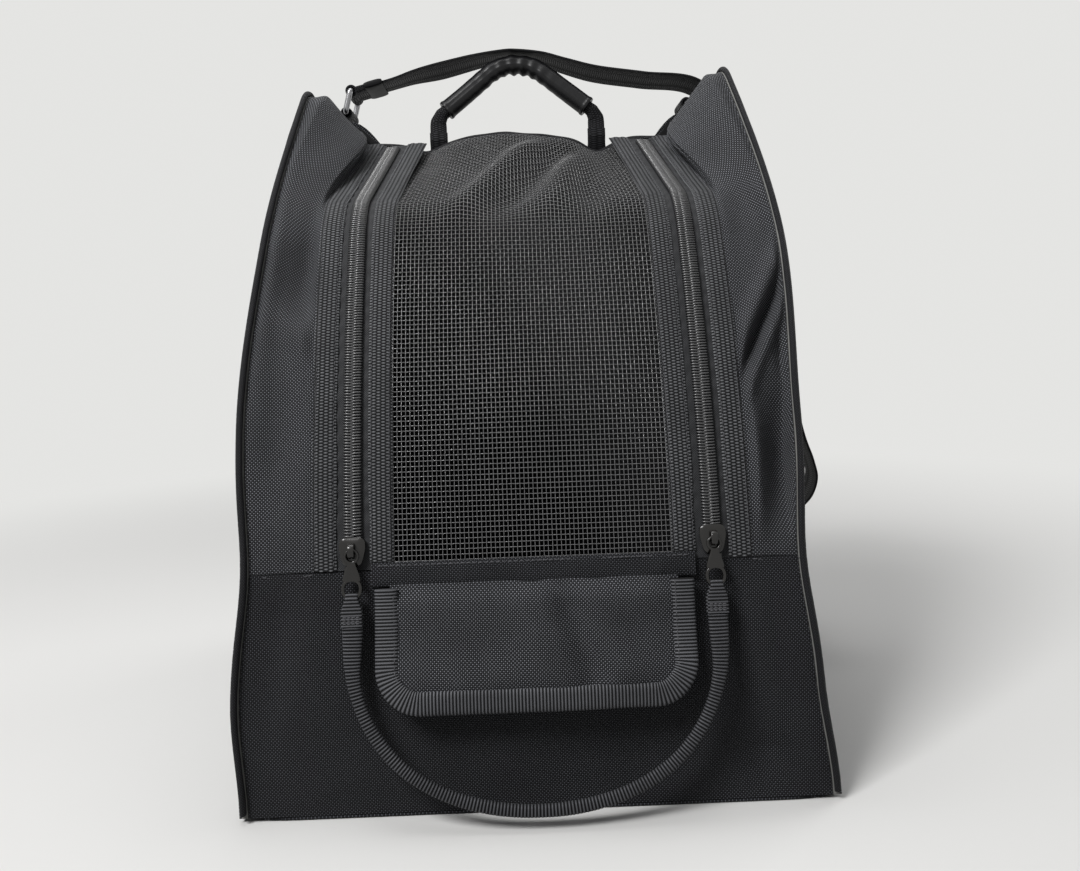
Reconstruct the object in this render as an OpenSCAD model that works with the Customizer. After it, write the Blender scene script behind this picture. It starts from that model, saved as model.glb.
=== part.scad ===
// Skate bag: a wedge-shaped fabric bag that stands on its base.
// A net flap between two coil zips opens the front and the top.
// Origin: centre of the base, on the floor. +X right, +Y to the rear, +Z up.

/* [Shell] */
// Width of the base, over the side panels
base_w = 300; // [270:1:330]
// Depth of the base, front to rear
base_d = 310; // [295:1:330]
// Height of the ears, the rounded top corners of the side panels
ear_h = 389; // [375:1:405]
// Radius of the curved front
front_r = 560; // [530:1:600]
// Radius of each ear
ear_r = 24; // [18:1:28]
// Inward lean of each side panel, in degrees
side_lean = 3.1; // [2:0.1:4]
// How far each side panel bows out under its ear
bow = 8; // [0:0.5:12]
// Height of the fullest place of the bow, up the side panel
bow_up = 285; // [260:1:300]
// How far each side panel is drawn in at the seam of the lower front panel
pinch = 4; // [0:0.5:5]
// Depth of the rear rim between the zips, under the ears
rim_drop = 28; // [23:1:37]
// Slope of the top of the flap, in degrees
top_slope = 29.5; // [27:0.5:32]
// Radius of the bend between the front and the top of the flap
bend_r = 60; // [45:1:70]
// Height of the seam over the lower front panel
seam_h = 122; // [112:1:135]
// Thickness of the outer fabric of the sides and the rear
shell_t = 1.2; // [0.8:0.1:1.6]
// Thickness of the foam in the sides and the rear
foam_t = 3; // [2:0.5:5]
// Thickness of the lining
lining_t = 0.6; // [0.4:0.1:1]
// Thickness of the front panels, fabric and backing together
front_t = 2.4; // [1.6:0.2:3]
// Thickness of the base fabric
base_t = 2; // [1.5:0.5:3]
// Thickness of the stiff board on the base
board_t = 3; // [2:0.5:5]
// Corner radius of the base
base_corner = 6; // [3:1:12]
// Radius of the piping cord on the side seams
piping_r = 2.2; // [1.5:0.1:3]
// Radius of the padded roll along the rear rim
roll_r = 4; // [3:0.5:5]

/* [Zips] */
// Distance of each zip from the centre line
zip_x = 89; // [84:1:94]
// How far each zip runs inward over the top
zip_taper = 10; // [0:1:14]
// Width of one coil of the chain
coil_w = 3; // [2:0.5:3.5]
// Height of the coil over its tape
coil_h = 2.4; // [1.5:0.1:2.6]
// Gap between the two coils, where the slider's neck runs
coil_gap = 2; // [1.6:0.1:2.6]
// Thickness of the zip tape
tape_t = 0.8; // [0.5:0.1:1]
// Reach of the tape from the middle of the chain
tape_reach = 9; // [8:0.5:11]
// Width of the grosgrain binding beside each zip
binding_w = 12; // [9:0.5:14]
// Thickness of the binding
binding_t = 0.9; // [0.6:0.1:1.2]
// Length of a slider's body
slider_l = 14; // [11:1:16]
// Width of a slider's body
slider_w = 13; // [11.5:0.5:13.5]
// Thickness of a slider's plates
slider_t = 1.4; // [1:0.1:1.8]
// Travel of the sliders along the curved front, in degrees
slider_travel = 16.5; // [10:0.5:16.5]

/* [Flap] */
// Strand width of the net
strand_w = 1.6; // [1:0.1:2.4]
// Thickness of the net
net_t = 0.8; // [0.5:0.1:1]
// Gaps of the net across the flap
net_across = 10; // [6:1:12]
// Gaps of the net along the flap
net_along = 24; // [12:1:25]
// Height of the folded hem under the net
hem_h = 12; // [8:1:16]
// Thickness of the hem
hem_t = 2; // [1.5:0.1:3]
// Distance of the hand tab's sides from the zips
tab_inset = 9; // [7:0.5:25]
// Height of the hand tab
tab_h = 60; // [45:1:62]
// Radius of the lower corners of the tab
tab_corner = 22; // [18:1:30]
// Width of the binding round the tab
tab_binding_w = 11; // [8:0.5:14]
// Thickness of the tab's padding
tab_foam_t = 4; // [2:0.5:5]
// Thickness of the tab's fabric
tab_fabric_t = 0.8; // [0.5:0.1:1]

/* [Pulls] */
// Width of a pull tab
pull_w = 10.4; // [9:0.2:11]
// Length of a pull tab, from its crossbar to the middle of its eye
pull_l = 18; // [15:1:22]
// Thickness of a pull tab
pull_t = 1.6; // [1.2:0.1:2]
// Radius of the eye that the pull strap runs through
pull_eye_r = 3.2; // [2.8:0.1:3.6]
// Width of the pull strap
pull_strap_w = 10; // [8:0.5:11]
// Thickness of the folded pull strap
pull_strap_t = 4.4; // [4:0.1:5]
// Straight length of each leg of the pull strap, from the crossbar
pull_leg = 60; // [50:1:70]
// Depth of the round lower end of the pull strap
pull_drop = 66; // [50:1:67]
// Lean of the hanging pull strap, in degrees
pull_lean = 12.5; // [12.5:0.5:16]

/* [Handle] */
// Distance of each handle foot from the centre line
foot_x = 52; // [45:1:60]
// Width of the handle webbing
foot_w = 15; // [12:1:20]
// Thickness of the handle webbing
foot_t = 2.4; // [2:0.2:3]
// Length of a foot over the rim
foot_l = 15; // [12:1:18]
// Length of the webbing sewn down the rear panel
foot_sewn = 40; // [25:1:60]
// Height of the middle line of the handle over its hinge
handle_h = 49; // [44:1:54]
// Radius of the bend at the top of the handle
handle_bend = 28; // [24:1:31]
// Radius of the vinyl grip
grip_r = 6.5; // [6:0.5:8]
// Radius of the rolled webbing inside the grip
core_r = 4; // [3.5:0.5:4.5]
// Backward lean of the handle at rest, in degrees
handle_lean = 8; // [6:1:10]

/* [Shoulder strap] */
// Width of the shoulder strap
strap_w = 25; // [20:1:30]
// Thickness of the shoulder strap
strap_t = 1.6; // [1.2:0.1:2]
// Radius of the wire of the strap rings
ring_r = 2; // [1.5:0.1:2.2]

/* [Hidden] */

// Clearance between a moving piece and its neighbour
run_gap = 0.3;
// Clearance between two sewn or seated pieces
seat_gap = 0.2;
// Reach of a cutting solid past the piece that it cuts
over = 2 * ear_h;
// Facets of a round piece
$fn = 48;

// Side wall: fabric, foam and lining together
wall_t = shell_t + foam_t + lining_t;
rim_h = ear_h - rim_drop;
half_w = base_w / 2;
half_d = base_d / 2;
// Middle of the front curve, as y
mid_y = front_r - half_d;

// Side outline, in the plane of the panel as [y, height]
ear_top = (ear_h - base_t) / cos(side_lean);
ear_z = ear_top - ear_r;
ear_y = mid_y - sqrt(pow(front_r - ear_r, 2) - ear_z * ear_z);
ear_from = asin(ear_z / (front_r - ear_r));
ear_reach = norm([half_d - ear_y, ear_z]);
back_edge_lean = atan2(half_d - ear_y, ear_z) - asin(ear_r / ear_reach);
back_edge_l = sqrt(ear_reach * ear_reach - ear_r * ear_r);
ear_to = 180 - back_edge_lean;
side_foot = wall_t * tan(side_lean);

// Bow of the side panels, as [height, distance out]: half lengths of its lower and
// upper slope and of the pinch at the seam
bow_low_l = 110;
bow_high_l = 85;
pinch_l = 35;
bow_steps = 12;
function hump(x) = exp(-x * x);
function bulge(h) = bow * hump((h - bow_up) / (h < bow_up ? bow_low_l : bow_high_l))
    - pinch * hump((h - seam_h + base_t) / pinch_l);
bow_line = [for (i = [0:bow_steps]) let (h = (ear_top + ear_r) * i / bow_steps) [h, bulge(h)]];
function bow_at(h) = lookup(h, bow_line);

// Rear wall, a plane through the rear edges of both side panels
back_top_z = back_edge_l * cos(back_edge_lean) * cos(side_lean);
back_lean = atan2(back_edge_l * sin(back_edge_lean), back_top_z);
back_l = back_top_z / cos(back_lean);
back_foot = wall_t * tan(back_lean);
roll_up = (rim_h - base_t) / cos(back_lean) - roll_r;
roll_y = half_d - roll_r * cos(back_lean) - roll_up * sin(back_lean);
roll_z = base_t - roll_r * sin(back_lean) + roll_up * cos(back_lean);

// Front outline along the zips: curve, bend and straight top, as [y, z]
rim_y = roll_y - roll_r - run_gap - front_t * sin(top_slope);
rim_z = roll_z + roll_r / 2;
top_dir = [cos(top_slope), sin(top_slope)];
top_out = [-sin(top_slope), cos(top_slope)];
rim_in = [rim_y - mid_y, rim_z - base_t] - bend_r * top_out;
rim_along = rim_in * top_dir;
top_l = rim_along + sqrt(rim_along * rim_along - rim_in * rim_in + pow(front_r - bend_r, 2));
bend_mid = [mid_y, base_t] + rim_in - top_l * top_dir;
bend_from = asin((bend_mid[1] - base_t) / (front_r - bend_r));
bend_to = 90 - top_slope;
bend_len = bend_r * (bend_to - bend_from) * PI / 180;
over_len = bend_len + top_l;
edge_len = front_r * (ear_from - bend_from) * PI / 180;
ear_len = ear_r * (ear_to - ear_from) * PI / 180;
arc_steps = 14;
top_steps = 20;

function arc_angle(z) = asin((z - base_t) / front_r);
function on_arc(a, n = 0) = [mid_y - (front_r + n) * cos(a), base_t + (front_r + n) * sin(a)];
// Point of the flap's outline past the curve, f from the bend (0) to the rim (1)
function on_over(f, n = 0) = f * over_len < bend_len
    ? bend_mid + (bend_r + n) * [-cos(bend_at(f)), sin(bend_at(f))]
    : [rim_y, rim_z] + (f - 1) * over_len * top_dir + n * top_out;
function bend_at(f) = bend_from + f * over_len / bend_r * 180 / PI;
// Outline of the flap at depth n, from angle a to share f of the top
function flap_line(n, a, f) = concat(
    [for (i = [0:arc_steps]) on_arc(a + (bend_from - a) * i / arc_steps, n)],
    [for (i = [1:top_steps]) on_over(f * i / top_steps, n)]);
function arc_line(n, a, b) = [for (i = [0:arc_steps]) on_arc(a + (b - a) * i / arc_steps, n)];
function over_line(n, f, g) = [for (i = [0:top_steps]) on_over(f + (g - f) * i / top_steps, n)];
function back_and_forth(p, q) = concat(p, [for (i = [len(q) - 1:-1:0]) q[i]]);
// Line of a zip, as its distance from the middle at depth y
taper_y = on_over(bend_len / over_len)[0];
function zip_at(y) = zip_x - zip_taper * max(0, y - taper_y) / (rim_y - taper_y);

// Side outline point past the front curve, f from the bend (0) to the rear (1)
function on_ear(f, n = 0) = f * (edge_len + ear_len) < edge_len
    ? side_arc(bend_from + f * (edge_len + ear_len) / front_r * 180 / PI, n)
    : side_ear(ear_from + (f * (edge_len + ear_len) - edge_len) / ear_r * 180 / PI, n);
function side_arc(a, n = 0) = [mid_y - (front_r + n) * cos(a), (front_r + n) * sin(a)];
function side_ear(a, n = 0) = [ear_y, ear_z] + (ear_r + n) * [-cos(a), sin(a)];
// Point of a side panel, at depth d under its outer face
function side_point(p, d) = let (in = d - bow_at(p[1]))
    [half_w - in * cos(side_lean) - p[1] * sin(side_lean), p[0],
    base_t - in * sin(side_lean) + p[1] * cos(side_lean)];
function side_out(z) = side_point([0, z - base_t], 0)[0];
function back_y(z) = half_d - (z - base_t) * tan(back_lean);

seam_a = arc_angle(seam_h);
// Rest and parking places of the sliders on the front curve
slider_half = slider_l / 2 / front_r * 180 / PI;
stop_l = 2.2;
stop_a = stop_l / front_r * 180 / PI;
gap_a = run_gap / front_r * 180 / PI;
sewn_a = seam_a + 2 * gap_a;
rest_a = seam_a + stop_a + 2 * gap_a + slider_half;
park_a = rest_a + slider_travel;
chain_a = rest_a + slider_half + 4 * gap_a;
park_half = slider_half + 4 * gap_a;
// Share of the top where the chain ends at its top stop
chain_f = 0.93;
stop_f = stop_l / over_len;
// Share of the top where the tapes and the flap's edge end
tape_f = 0.99;
edge_f = 0.995;
// Start of each tape from the middle of the chain, and its lap under the binding
tape_from = coil_gap / 2 + 0.6;
tape_lap = 1;
// Height of the slider's parts over the panels
tape_out = -0.2;
coil_low = tape_out + seat_gap / 2;
coil_out = tape_out + coil_h;
plate_out = coil_out + run_gap;
plate_in = tape_out - tape_t - run_gap;
neck_w = coil_gap - 2 * run_gap;
bridge_t = 1.2;
bridge_w = 3.2;
pin_r = 0.9;
pin_out = plate_out + slider_t + run_gap + pin_r;
bridge_half = pin_r + run_gap;
pin_at = on_arc(rest_a, pin_out);

// Flap pieces
tab_w = 2 * (zip_x - tab_inset);
hem_half = zip_x - tape_reach;
net_out = -0.1;
net_edge = tape_reach + run_gap;
hem_lap = 4;
hem_top_a = seam_a + hem_lap / front_r * 180 / PI;
hem_low_a = hem_top_a - hem_h / front_r * 180 / PI;
tab_a = hem_low_a - (tab_h / 2) / front_r * 180 / PI;
tab_out = tab_h * tab_h / (8 * front_r) + run_gap;
tab_t = 2 * tab_fabric_t + tab_foam_t;

// Handle: hinge at the outer face of the rear wall, level with the rim
hinge_y = back_y(rim_h) + foot_t / 2;
hinge_z = rim_h + run_gap;
// The hinge in the plane of the rear wall, as [outward, up], and the bead that the feet turn on
hinge_wall = [foot_t / 2 * cos(back_lean) + run_gap * sin(back_lean),
    roll_up + roll_r - foot_t / 2 * sin(back_lean) + run_gap * cos(back_lean)];
bead_r = 1;
handle_mid = handle_h - handle_bend;
handle_to_mid = norm([foot_x, handle_mid - foot_l]);
leg_rise = atan2(handle_mid - foot_l, foot_x) + asin(handle_bend / handle_to_mid);
leg_l = sqrt(handle_to_mid * handle_to_mid - handle_bend * handle_bend);
grip_start = 7;

// Shoulder strap: front edge as y, and bars of its rings as [x, z]
strap_y = back_y(rim_h) + 2;
anchor_in = 38;
anchor_up = 20;
anchor_bar = [half_w - anchor_in, rim_h + anchor_up];
left_bar = [-anchor_bar[0], anchor_bar[1]] + [4, 14];
right_bar = anchor_bar + [9, -6];
loop_r = ring_r + run_gap;
crest_up = 2 * run_gap + handle_h * cos(handle_lean) + grip_r + strap_t / 2;
// Its run over the handle, as [share of the anchor's distance from the middle, height over the rim]
strap_over = [[-0.73, 40.5], [-0.6, 44.5], [-0.43, 48.3], [-0.25, 52.8], [-0.1, 55.8],
    [0, crest_up], [0.15, 54], [0.3, 48.6], [0.48, 43], [0.755, 38.3], [1.07, 32.7]];
// Its spare loop at the right, as [distance out of the side panel, height over the rim]
strap_hang = [[8.5, 7], [17, -51], [35, -131], [51, -196], [61.5, -222], [64.5, -236], [58, -250],
    [43, -259], [25, -256], [13, -241], [8, -216], [7, -171], [6.5, -101], [5, -31], [3, -9]];
strap_route = concat([left_bar + [3, 0.8]],
    [for (p = strap_over) [p[0] * anchor_bar[0], rim_h + p[1]]],
    [for (p = strap_hang) [side_out(rim_h + p[1]) + p[0], rim_h + p[1]]],
    [right_bar + [15.5, -9], right_bar + [3.6, 1.6]]);
strap_steps = 5;
// Stretch of the route where the adjuster sits
adjuster_i = 0;

function smooth(p, i, t) = let (a = p[max(i - 1, 0)], b = p[i], c = p[i + 1],
    d = p[min(i + 2, len(p) - 1)])
    0.5 * (2 * b + (c - a) * t + (2 * a - 5 * b + 4 * c - d) * t * t
    + (3 * b - a - 3 * c + d) * t * t * t);
function smooth_line(p, k) = concat(
    [for (i = [0:len(p) - 2], j = [0:k - 1]) smooth(p, i, j / k)], [p[len(p) - 1]]);
function across(p, i) = let (d = p[min(i + 1, len(p) - 1)] - p[max(i - 1, 0)])
    [-d[1], d[0]] / norm(d);
function beside(p, w) = [for (i = [0:len(p) - 1]) p[i] + w * across(p, i)];
function ribbon(p, w) = back_and_forth(beside(p, w / 2), beside(p, -w / 2));

// A y-z outline, drawn out along X
module along_x(from, to) {
    translate([from, 0, 0])
        rotate([90, 0, 90])
            linear_extrude(to - from) children();
}

// An x-z outline, drawn out along Y
module along_y(from, to) {
    translate([0, to, 0])
        rotate([90, 0, 0])
            linear_extrude(to - from) children();
}

// A piece of the right side, and its mirror image on the left
module left() {
    mirror([1, 0, 0]) children();
}

// The plane of the right side panel: outer face at x = 0
module on_side() {
    translate([half_w, 0, base_t])
        rotate([0, -side_lean, 0]) children();
}

// The plane of the rear wall: outer face at y = 0
module on_back() {
    translate([0, half_d, base_t])
        rotate([back_lean, 0, 0]) children();
}

// A place on the front curve: outward is -y, up the curve is +z
module on_front(a) {
    translate([0, mid_y, base_t])
        rotate([-a, 0, 0])
            translate([0, -front_r, 0]) children();
}

// The space between the inner faces of the two side walls
module between_sides() {
    heights = concat([-over], [for (p = bow_line) p[0]], [over]);
    right = [for (h = heights) let (p = side_point([0, h], wall_t)) [p[0], p[2]]];
    along_y(-over, over)
        polygon(back_and_forth(right, [for (p = right) [-p[0], p[1]]]));
}

// A band beside the right zip, between two distances from the zip's line
module zip_band(from, to) {
    rows = [-over, taper_y, rim_y, half_d];
    linear_extrude(2 * over, center = true)
        polygon(concat([for (y = rows) [zip_at(y) + from, y]],
            [for (i = [3:-1:0]) [zip_at(rows[i]) + to, rows[i]]]));
}

module zip_strip(from, to, outline) {
    intersection() {
        along_x(0, over) polygon(outline);
        zip_band(from, to);
    }
}

// A closed sheet between an outer and an inner grid of points, rows upward, columns outward
module sheet(outer, inner) {
    rows = len(outer);
    cols = len(outer[0]);
    back = rows * cols;
    points = concat([for (r = outer, p = r) p], [for (r = inner, p = r) p]);
    skin = [for (i = [0:rows - 2], j = [0:cols - 2]) let (a = i * cols + j, d = a + cols)
        each [[a, d, d + 1], [a, d + 1, a + 1],
        [back + a, back + d + 1, back + d], [back + a, back + a + 1, back + d + 1]]];
    ends = [for (j = [0:cols - 2]) let (a = j, d = (rows - 1) * cols + j)
        each [[a, a + 1, back + a + 1], [a, back + a + 1, back + a],
        [d + 1, d, back + d], [d + 1, back + d, back + d + 1]]];
    edges = [for (i = [0:rows - 2]) let (a = i * cols, d = a + cols, b = d - 1, c = b + cols)
        each [[d, a, back + a], [d, back + a, back + d],
        [b, c, back + c], [b, back + c, back + b]]];
    polyhedron(points, concat(skin, ends, edges));
}

module base_panel() {
    color("#1b1c20")
        linear_extrude(base_t)
            difference() {
                square([base_w, base_d], center = true);
                for (sx = [-1, 1], sy = [-1, 1])
                    translate([sx * half_w, sy * half_d])
                        difference() {
                            square(2 * base_corner, center = true);
                            translate([-sx * base_corner, -sy * base_corner]) circle(base_corner);
                        }
            }
}

module base_board() {
    room_front = half_d - front_t - seat_gap;
    room_rear = half_d - wall_t / cos(back_lean) - board_t * tan(back_lean) - seat_gap;
    room_side = side_point([0, side_foot + board_t], wall_t)[0] - seat_gap;
    color("#2b2b2d")
        translate([-room_side, -room_front, base_t])
            cube([2 * room_side, room_front + room_rear, board_t]);
}

// One layer of the right side wall, at depth d under its outer face
module side_layer(d, t) {
    outline = concat([[side_arc(asin(side_foot / front_r))[0], side_foot]],
        [for (i = [1:arc_steps]) side_arc(bend_from * i / arc_steps)],
        [for (i = [1:top_steps]) on_ear(i / top_steps)],
        [[half_d - side_foot * tan(back_edge_lean), side_foot]]);
    band = back_and_forth([for (p = bow_line) [p[1] - d, p[0]]], [for (p = bow_line) [p[1] - d - t, p[0]]]);
    on_side()
        intersection() {
            along_x(-over, over) polygon(outline);
            along_y(-over, over) polygon(band);
        }
}

module right_side_panel() {
    color("#222429") side_layer(0, shell_t);
}

module left_side_panel() {
    left() right_side_panel();
}

module right_side_foam() {
    color("#8a8a86") side_layer(shell_t, foam_t);
}

module left_side_foam() {
    left() right_side_foam();
}

module right_side_lining() {
    color("#2a2b2e") side_layer(shell_t + foam_t, lining_t);
}

module left_side_lining() {
    left() right_side_lining();
}

// One layer of the rear wall, at depth d under its outer face
module back_layer(d, t) {
    reach = zip_at(rim_y) + tape_reach + binding_w + seat_gap;
    side_up = back_l - roll_r;
    under_roll = roll_up - roll_r - seat_gap;
    intersection() {
        on_back()
            translate([0, -d - t, 0])
                along_y(0, t)
                    polygon([[-half_w, back_foot], [half_w, back_foot], [half_w, side_up],
                        [reach, roll_up], [reach, under_roll], [-reach, under_roll],
                        [-reach, roll_up], [-half_w, side_up]]);
        between_sides();
    }
}

module back_panel() {
    color("#222429") back_layer(0, shell_t);
}

module back_foam() {
    color("#8a8a86") back_layer(shell_t, foam_t);
}

module back_lining() {
    color("#2a2b2e") back_layer(shell_t + foam_t, lining_t);
}

module front_lower_panel() {
    color("#202226")
        intersection() {
            along_x(-half_w, half_w)
                polygon(back_and_forth(arc_line(0, 0, seam_a), arc_line(-front_t, 0, seam_a)));
            between_sides();
        }
}

// Right front gusset: level beside the zip, rising to the ear at the side seam
module right_front_gusset() {
    rows = arc_steps + top_steps;
    near = tape_reach;
    far = tape_reach + binding_w;
    low = sewn_a;
    zip_out = flap_line(0, low, 1);
    zip_in = flap_line(-front_t, low, 1);
    function side_row(i, n) = i <= arc_steps
        ? side_arc(low + (bend_from - low) * i / arc_steps, n)
        : on_ear((i - arc_steps) / top_steps, n);
    function row(p, i, n) = [[zip_at(p[0]) + near, p[0], p[1]], [zip_at(p[0]) + far, p[0], p[1]],
        side_point(side_row(i, n), wall_t + 2 * seat_gap)];
    color("#222429")
        sheet([for (i = [0:rows]) row(zip_out[i], i, 0)],
            [for (i = [0:rows]) row(zip_in[i], i, -front_t)]);
}

module left_front_gusset() {
    left() right_front_gusset();
}

// Piping cord along the front, the ear and the rear of the right side panel
module right_piping() {
    lift = piping_r + seat_gap;
    foot = side_foot + piping_r;
    rear = on_ear(1, lift);
    rear_foot = [half_d - foot * tan(back_edge_lean) + lift / cos(back_edge_lean), foot];
    line = concat([side_arc(asin(side_foot / front_r), lift)],
        [for (i = [1:arc_steps]) side_arc(bend_from * i / arc_steps, lift)],
        [for (i = [1:top_steps]) on_ear(i / top_steps, lift)],
        [for (i = [1:arc_steps]) rear + (rear_foot - rear) * i / arc_steps]);
    color("#17181b")
        on_side()
            translate([-wall_t / 2, 0, 0])
                rotate([0, 0, 90]) rod([for (p = line) [p[0], p[1], -bow_at(p[1])]], piping_r);
}

module left_piping() {
    left() right_piping();
}

module rear_rim_roll() {
    reach = zip_at(rim_y) + tape_reach + binding_w;
    color("#17181b")
        on_back()
            translate([-reach, -roll_r, roll_up])
                rotate([0, 90, 0]) cylinder(r = roll_r, h = 2 * reach);
}

module right_outer_binding() {
    low = sewn_a;
    color("#1c1d20")
        zip_strip(tape_reach - tape_lap, tape_reach + binding_w - tape_lap,
            back_and_forth(flap_line(binding_t, low, 1), flap_line(0, low, 1)));
}

module left_outer_binding() {
    left() right_outer_binding();
}

module right_bag_tape() {
    low = seam_a + gap_a;
    color("#3a3b3e")
        zip_strip(tape_from, tape_reach - seat_gap,
            back_and_forth(flap_line(tape_out, low, tape_f), flap_line(tape_out - tape_t, low, tape_f)));
}

module left_bag_tape() {
    left() right_bag_tape();
}

module right_bag_coil() {
    low = seam_a + stop_a + 2 * gap_a;
    color("#131316")
        zip_strip(coil_gap / 2, coil_gap / 2 + coil_w,
            back_and_forth(flap_line(coil_out, low, chain_f), flap_line(coil_low, low, chain_f)));
}

module left_bag_coil() {
    left() right_bag_coil();
}

// A stop clamped on the coil side of each bag tape
module zip_bottom_stops() {
    low = seam_a + gap_a;
    stop = back_and_forth(arc_line(coil_out, low, low + stop_a), arc_line(coil_low, low, low + stop_a));
    color("#2f3033") {
        zip_strip(coil_gap / 2, coil_gap / 2 + coil_w, stop);
        left() zip_strip(coil_gap / 2, coil_gap / 2 + coil_w, stop);
    }
}

module zip_top_stops() {
    low = chain_f + stop_f / 4;
    stop = back_and_forth(over_line(coil_out, low, low + stop_f), over_line(coil_low, low, low + stop_f));
    color("#2f3033") {
        zip_strip(coil_gap / 2, coil_gap / 2 + coil_w, stop);
        left() zip_strip(coil_gap / 2, coil_gap / 2 + coil_w, stop);
    }
}

// Outline of one strand across the net, between two angles or two shares of the top
function strand(n, m, k) = let (a = net_place(k, -strand_w / 2), b = net_place(k, strand_w / 2))
    [net_point(a, n), net_point(b, n), net_point(b, m), net_point(a, m)];
net_low = sewn_a;
net_arc_l = front_r * (bend_from - net_low) * PI / 180;
net_l = net_arc_l + over_len * edge_f;
function net_place(k, w) = k / net_along * (net_l - strand_w) + strand_w / 2 + w;
function net_point(l, n) = l < net_arc_l
    ? on_arc(net_low + l / front_r * 180 / PI, n)
    : on_over((l - net_arc_l) / over_len, n);

module flap_net() {
    thin = 0.05;
    edge = zip_x - net_edge;
    step = (2 * edge - strand_w) / net_across;
    sheet_out = flap_line(net_out, net_low, edge_f);
    sheet_in = flap_line(net_out - net_t, net_low, edge_f);
    color("#0d0d0f")
        intersection() {
            union() {
                for (i = [0:net_across])
                    along_x(-edge + i * step, -edge + i * step + strand_w)
                        polygon(back_and_forth(sheet_out, sheet_in));
                for (k = [0:net_along])
                    along_x(-edge + thin, edge - thin)
                        polygon(strand(net_out - thin, net_out - net_t + thin, k));
            }
            flap_plan(-net_edge);
        }
}

// The flap seen from above, out to a distance from both zips
module flap_plan(from) {
    rows = [-over, taper_y, rim_y, half_d];
    linear_extrude(2 * over, center = true)
        polygon(concat([for (y = rows) [zip_at(y) + from, y]],
            [for (i = [3:-1:0]) [-zip_at(rows[i]) - from, rows[i]]]));
}

module right_flap_binding() {
    low = hem_top_a + gap_a;
    color("#1c1d20")
        zip_strip(-tape_reach - binding_w + tape_lap, -tape_reach + tape_lap,
            back_and_forth(flap_line(binding_t, low, edge_f), flap_line(0, low, edge_f)));
}

module left_flap_binding() {
    left() right_flap_binding();
}

// The flap's half of the chain leaves room for the slider where it rests and where it parks
module flap_chain(from, to, out, in, end) {
    zip_strip(from, to, back_and_forth(arc_line(out, chain_a, park_a - park_half),
        arc_line(in, chain_a, park_a - park_half)));
    zip_strip(from, to, back_and_forth(flap_line(out, park_a + park_half, end),
        flap_line(in, park_a + park_half, end)));
}

module right_flap_tape() {
    color("#3a3b3e")
        flap_chain(-tape_reach, -tape_from, tape_out, tape_out - tape_t, tape_f);
}

module left_flap_tape() {
    left() right_flap_tape();
}

module right_flap_coil() {
    color("#131316")
        flap_chain(-coil_gap / 2 - coil_w, -coil_gap / 2, coil_out, coil_low, chain_f);
}

module left_flap_coil() {
    left() right_flap_coil();
}

module flap_hem() {
    color("#17181b")
        along_x(-hem_half, hem_half)
            polygon(back_and_forth(arc_line(run_gap + hem_t, hem_low_a, hem_top_a),
                arc_line(run_gap, hem_low_a, hem_top_a)));
}

// Outline of the hand tab, drawn in by d at its sides and its lower edge
module tab_outline(d) {
    low = -tab_h / 2 + d;
    side = tab_w / 2 - d;
    r = tab_corner - d;
    hull_x = side - r;
    union() {
        translate([-side, low + r]) square([2 * side, tab_h / 2 - low - r]);
        translate([-hull_x, low]) square([2 * hull_x, r]);
        for (s = [-1, 1])
            translate([s * hull_x, low + r]) circle(r);
    }
}

// A layer of the tab, between two heights over the lower panel
module tab_layer(from, to) {
    on_front(tab_a)
        translate([0, -tab_out - to, 0])
            along_y(0, to - from) children();
}

module tab_back() {
    color("#26282c")
        tab_layer(0, tab_fabric_t) tab_outline(tab_binding_w + seat_gap);
}

module tab_foam() {
    color("#8a8a86")
        tab_layer(tab_fabric_t, tab_fabric_t + tab_foam_t) tab_outline(tab_binding_w + seat_gap);
}

module tab_front() {
    color("#25272c")
        tab_layer(tab_fabric_t + tab_foam_t, tab_t) tab_outline(tab_binding_w + seat_gap);
}

module tab_binding() {
    color("#1c1d20")
        tab_layer(0, tab_t)
            difference() {
                tab_outline(0);
                tab_outline(tab_binding_w);
            }
}

// Slider of the right zip: two plates on a neck, flanges over the tapes and a bridge
module slider_body() {
    half = slider_l / 2;
    flange_w = slider_w / 2 - coil_gap / 2 - coil_w - run_gap;
    plate_low = plate_in - slider_t;
    bridge_l = 2 * (bridge_half + bridge_t);
    bridge_rise = 2 * bridge_half + bridge_t;
    translate([-slider_w / 2, -plate_out - slider_t, -half]) cube([slider_w, slider_t, slider_l]);
    translate([-slider_w / 2, -plate_in, -half]) cube([slider_w, slider_t, slider_l]);
    translate([-neck_w / 2, -plate_out - slider_t / 2, -half])
        cube([neck_w, plate_out - plate_low - slider_t / 2, slider_l / 3]);
    for (s = [0, 1])
        mirror([s, 0, 0])
            translate([slider_w / 2 - flange_w, -plate_out - slider_t / 2, -half])
                cube([flange_w, plate_out + slider_t / 2 - run_gap, slider_l]);
    translate([-bridge_w / 2, -plate_out - slider_t - bridge_rise, 0])
        difference() {
            translate([0, 0, -bridge_l / 2]) cube([bridge_w, bridge_rise + slider_t / 2, bridge_l]);
            translate([-1, bridge_t, -bridge_half]) cube([bridge_w + 2, 2 * bridge_half, 2 * bridge_half]);
        }
}

module right_slider() {
    color("#24252a")
        translate([zip_x, 0, 0])
            on_front(rest_a) slider_body();
}

module left_slider() {
    left() right_slider();
}

// The plane of the hanging pull strap, from the crossbars of the pull tabs down
module on_pull() {
    translate([0, pin_at[0], pin_at[1]])
        rotate([-pull_lean, 0, 0]) children();
}

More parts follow.
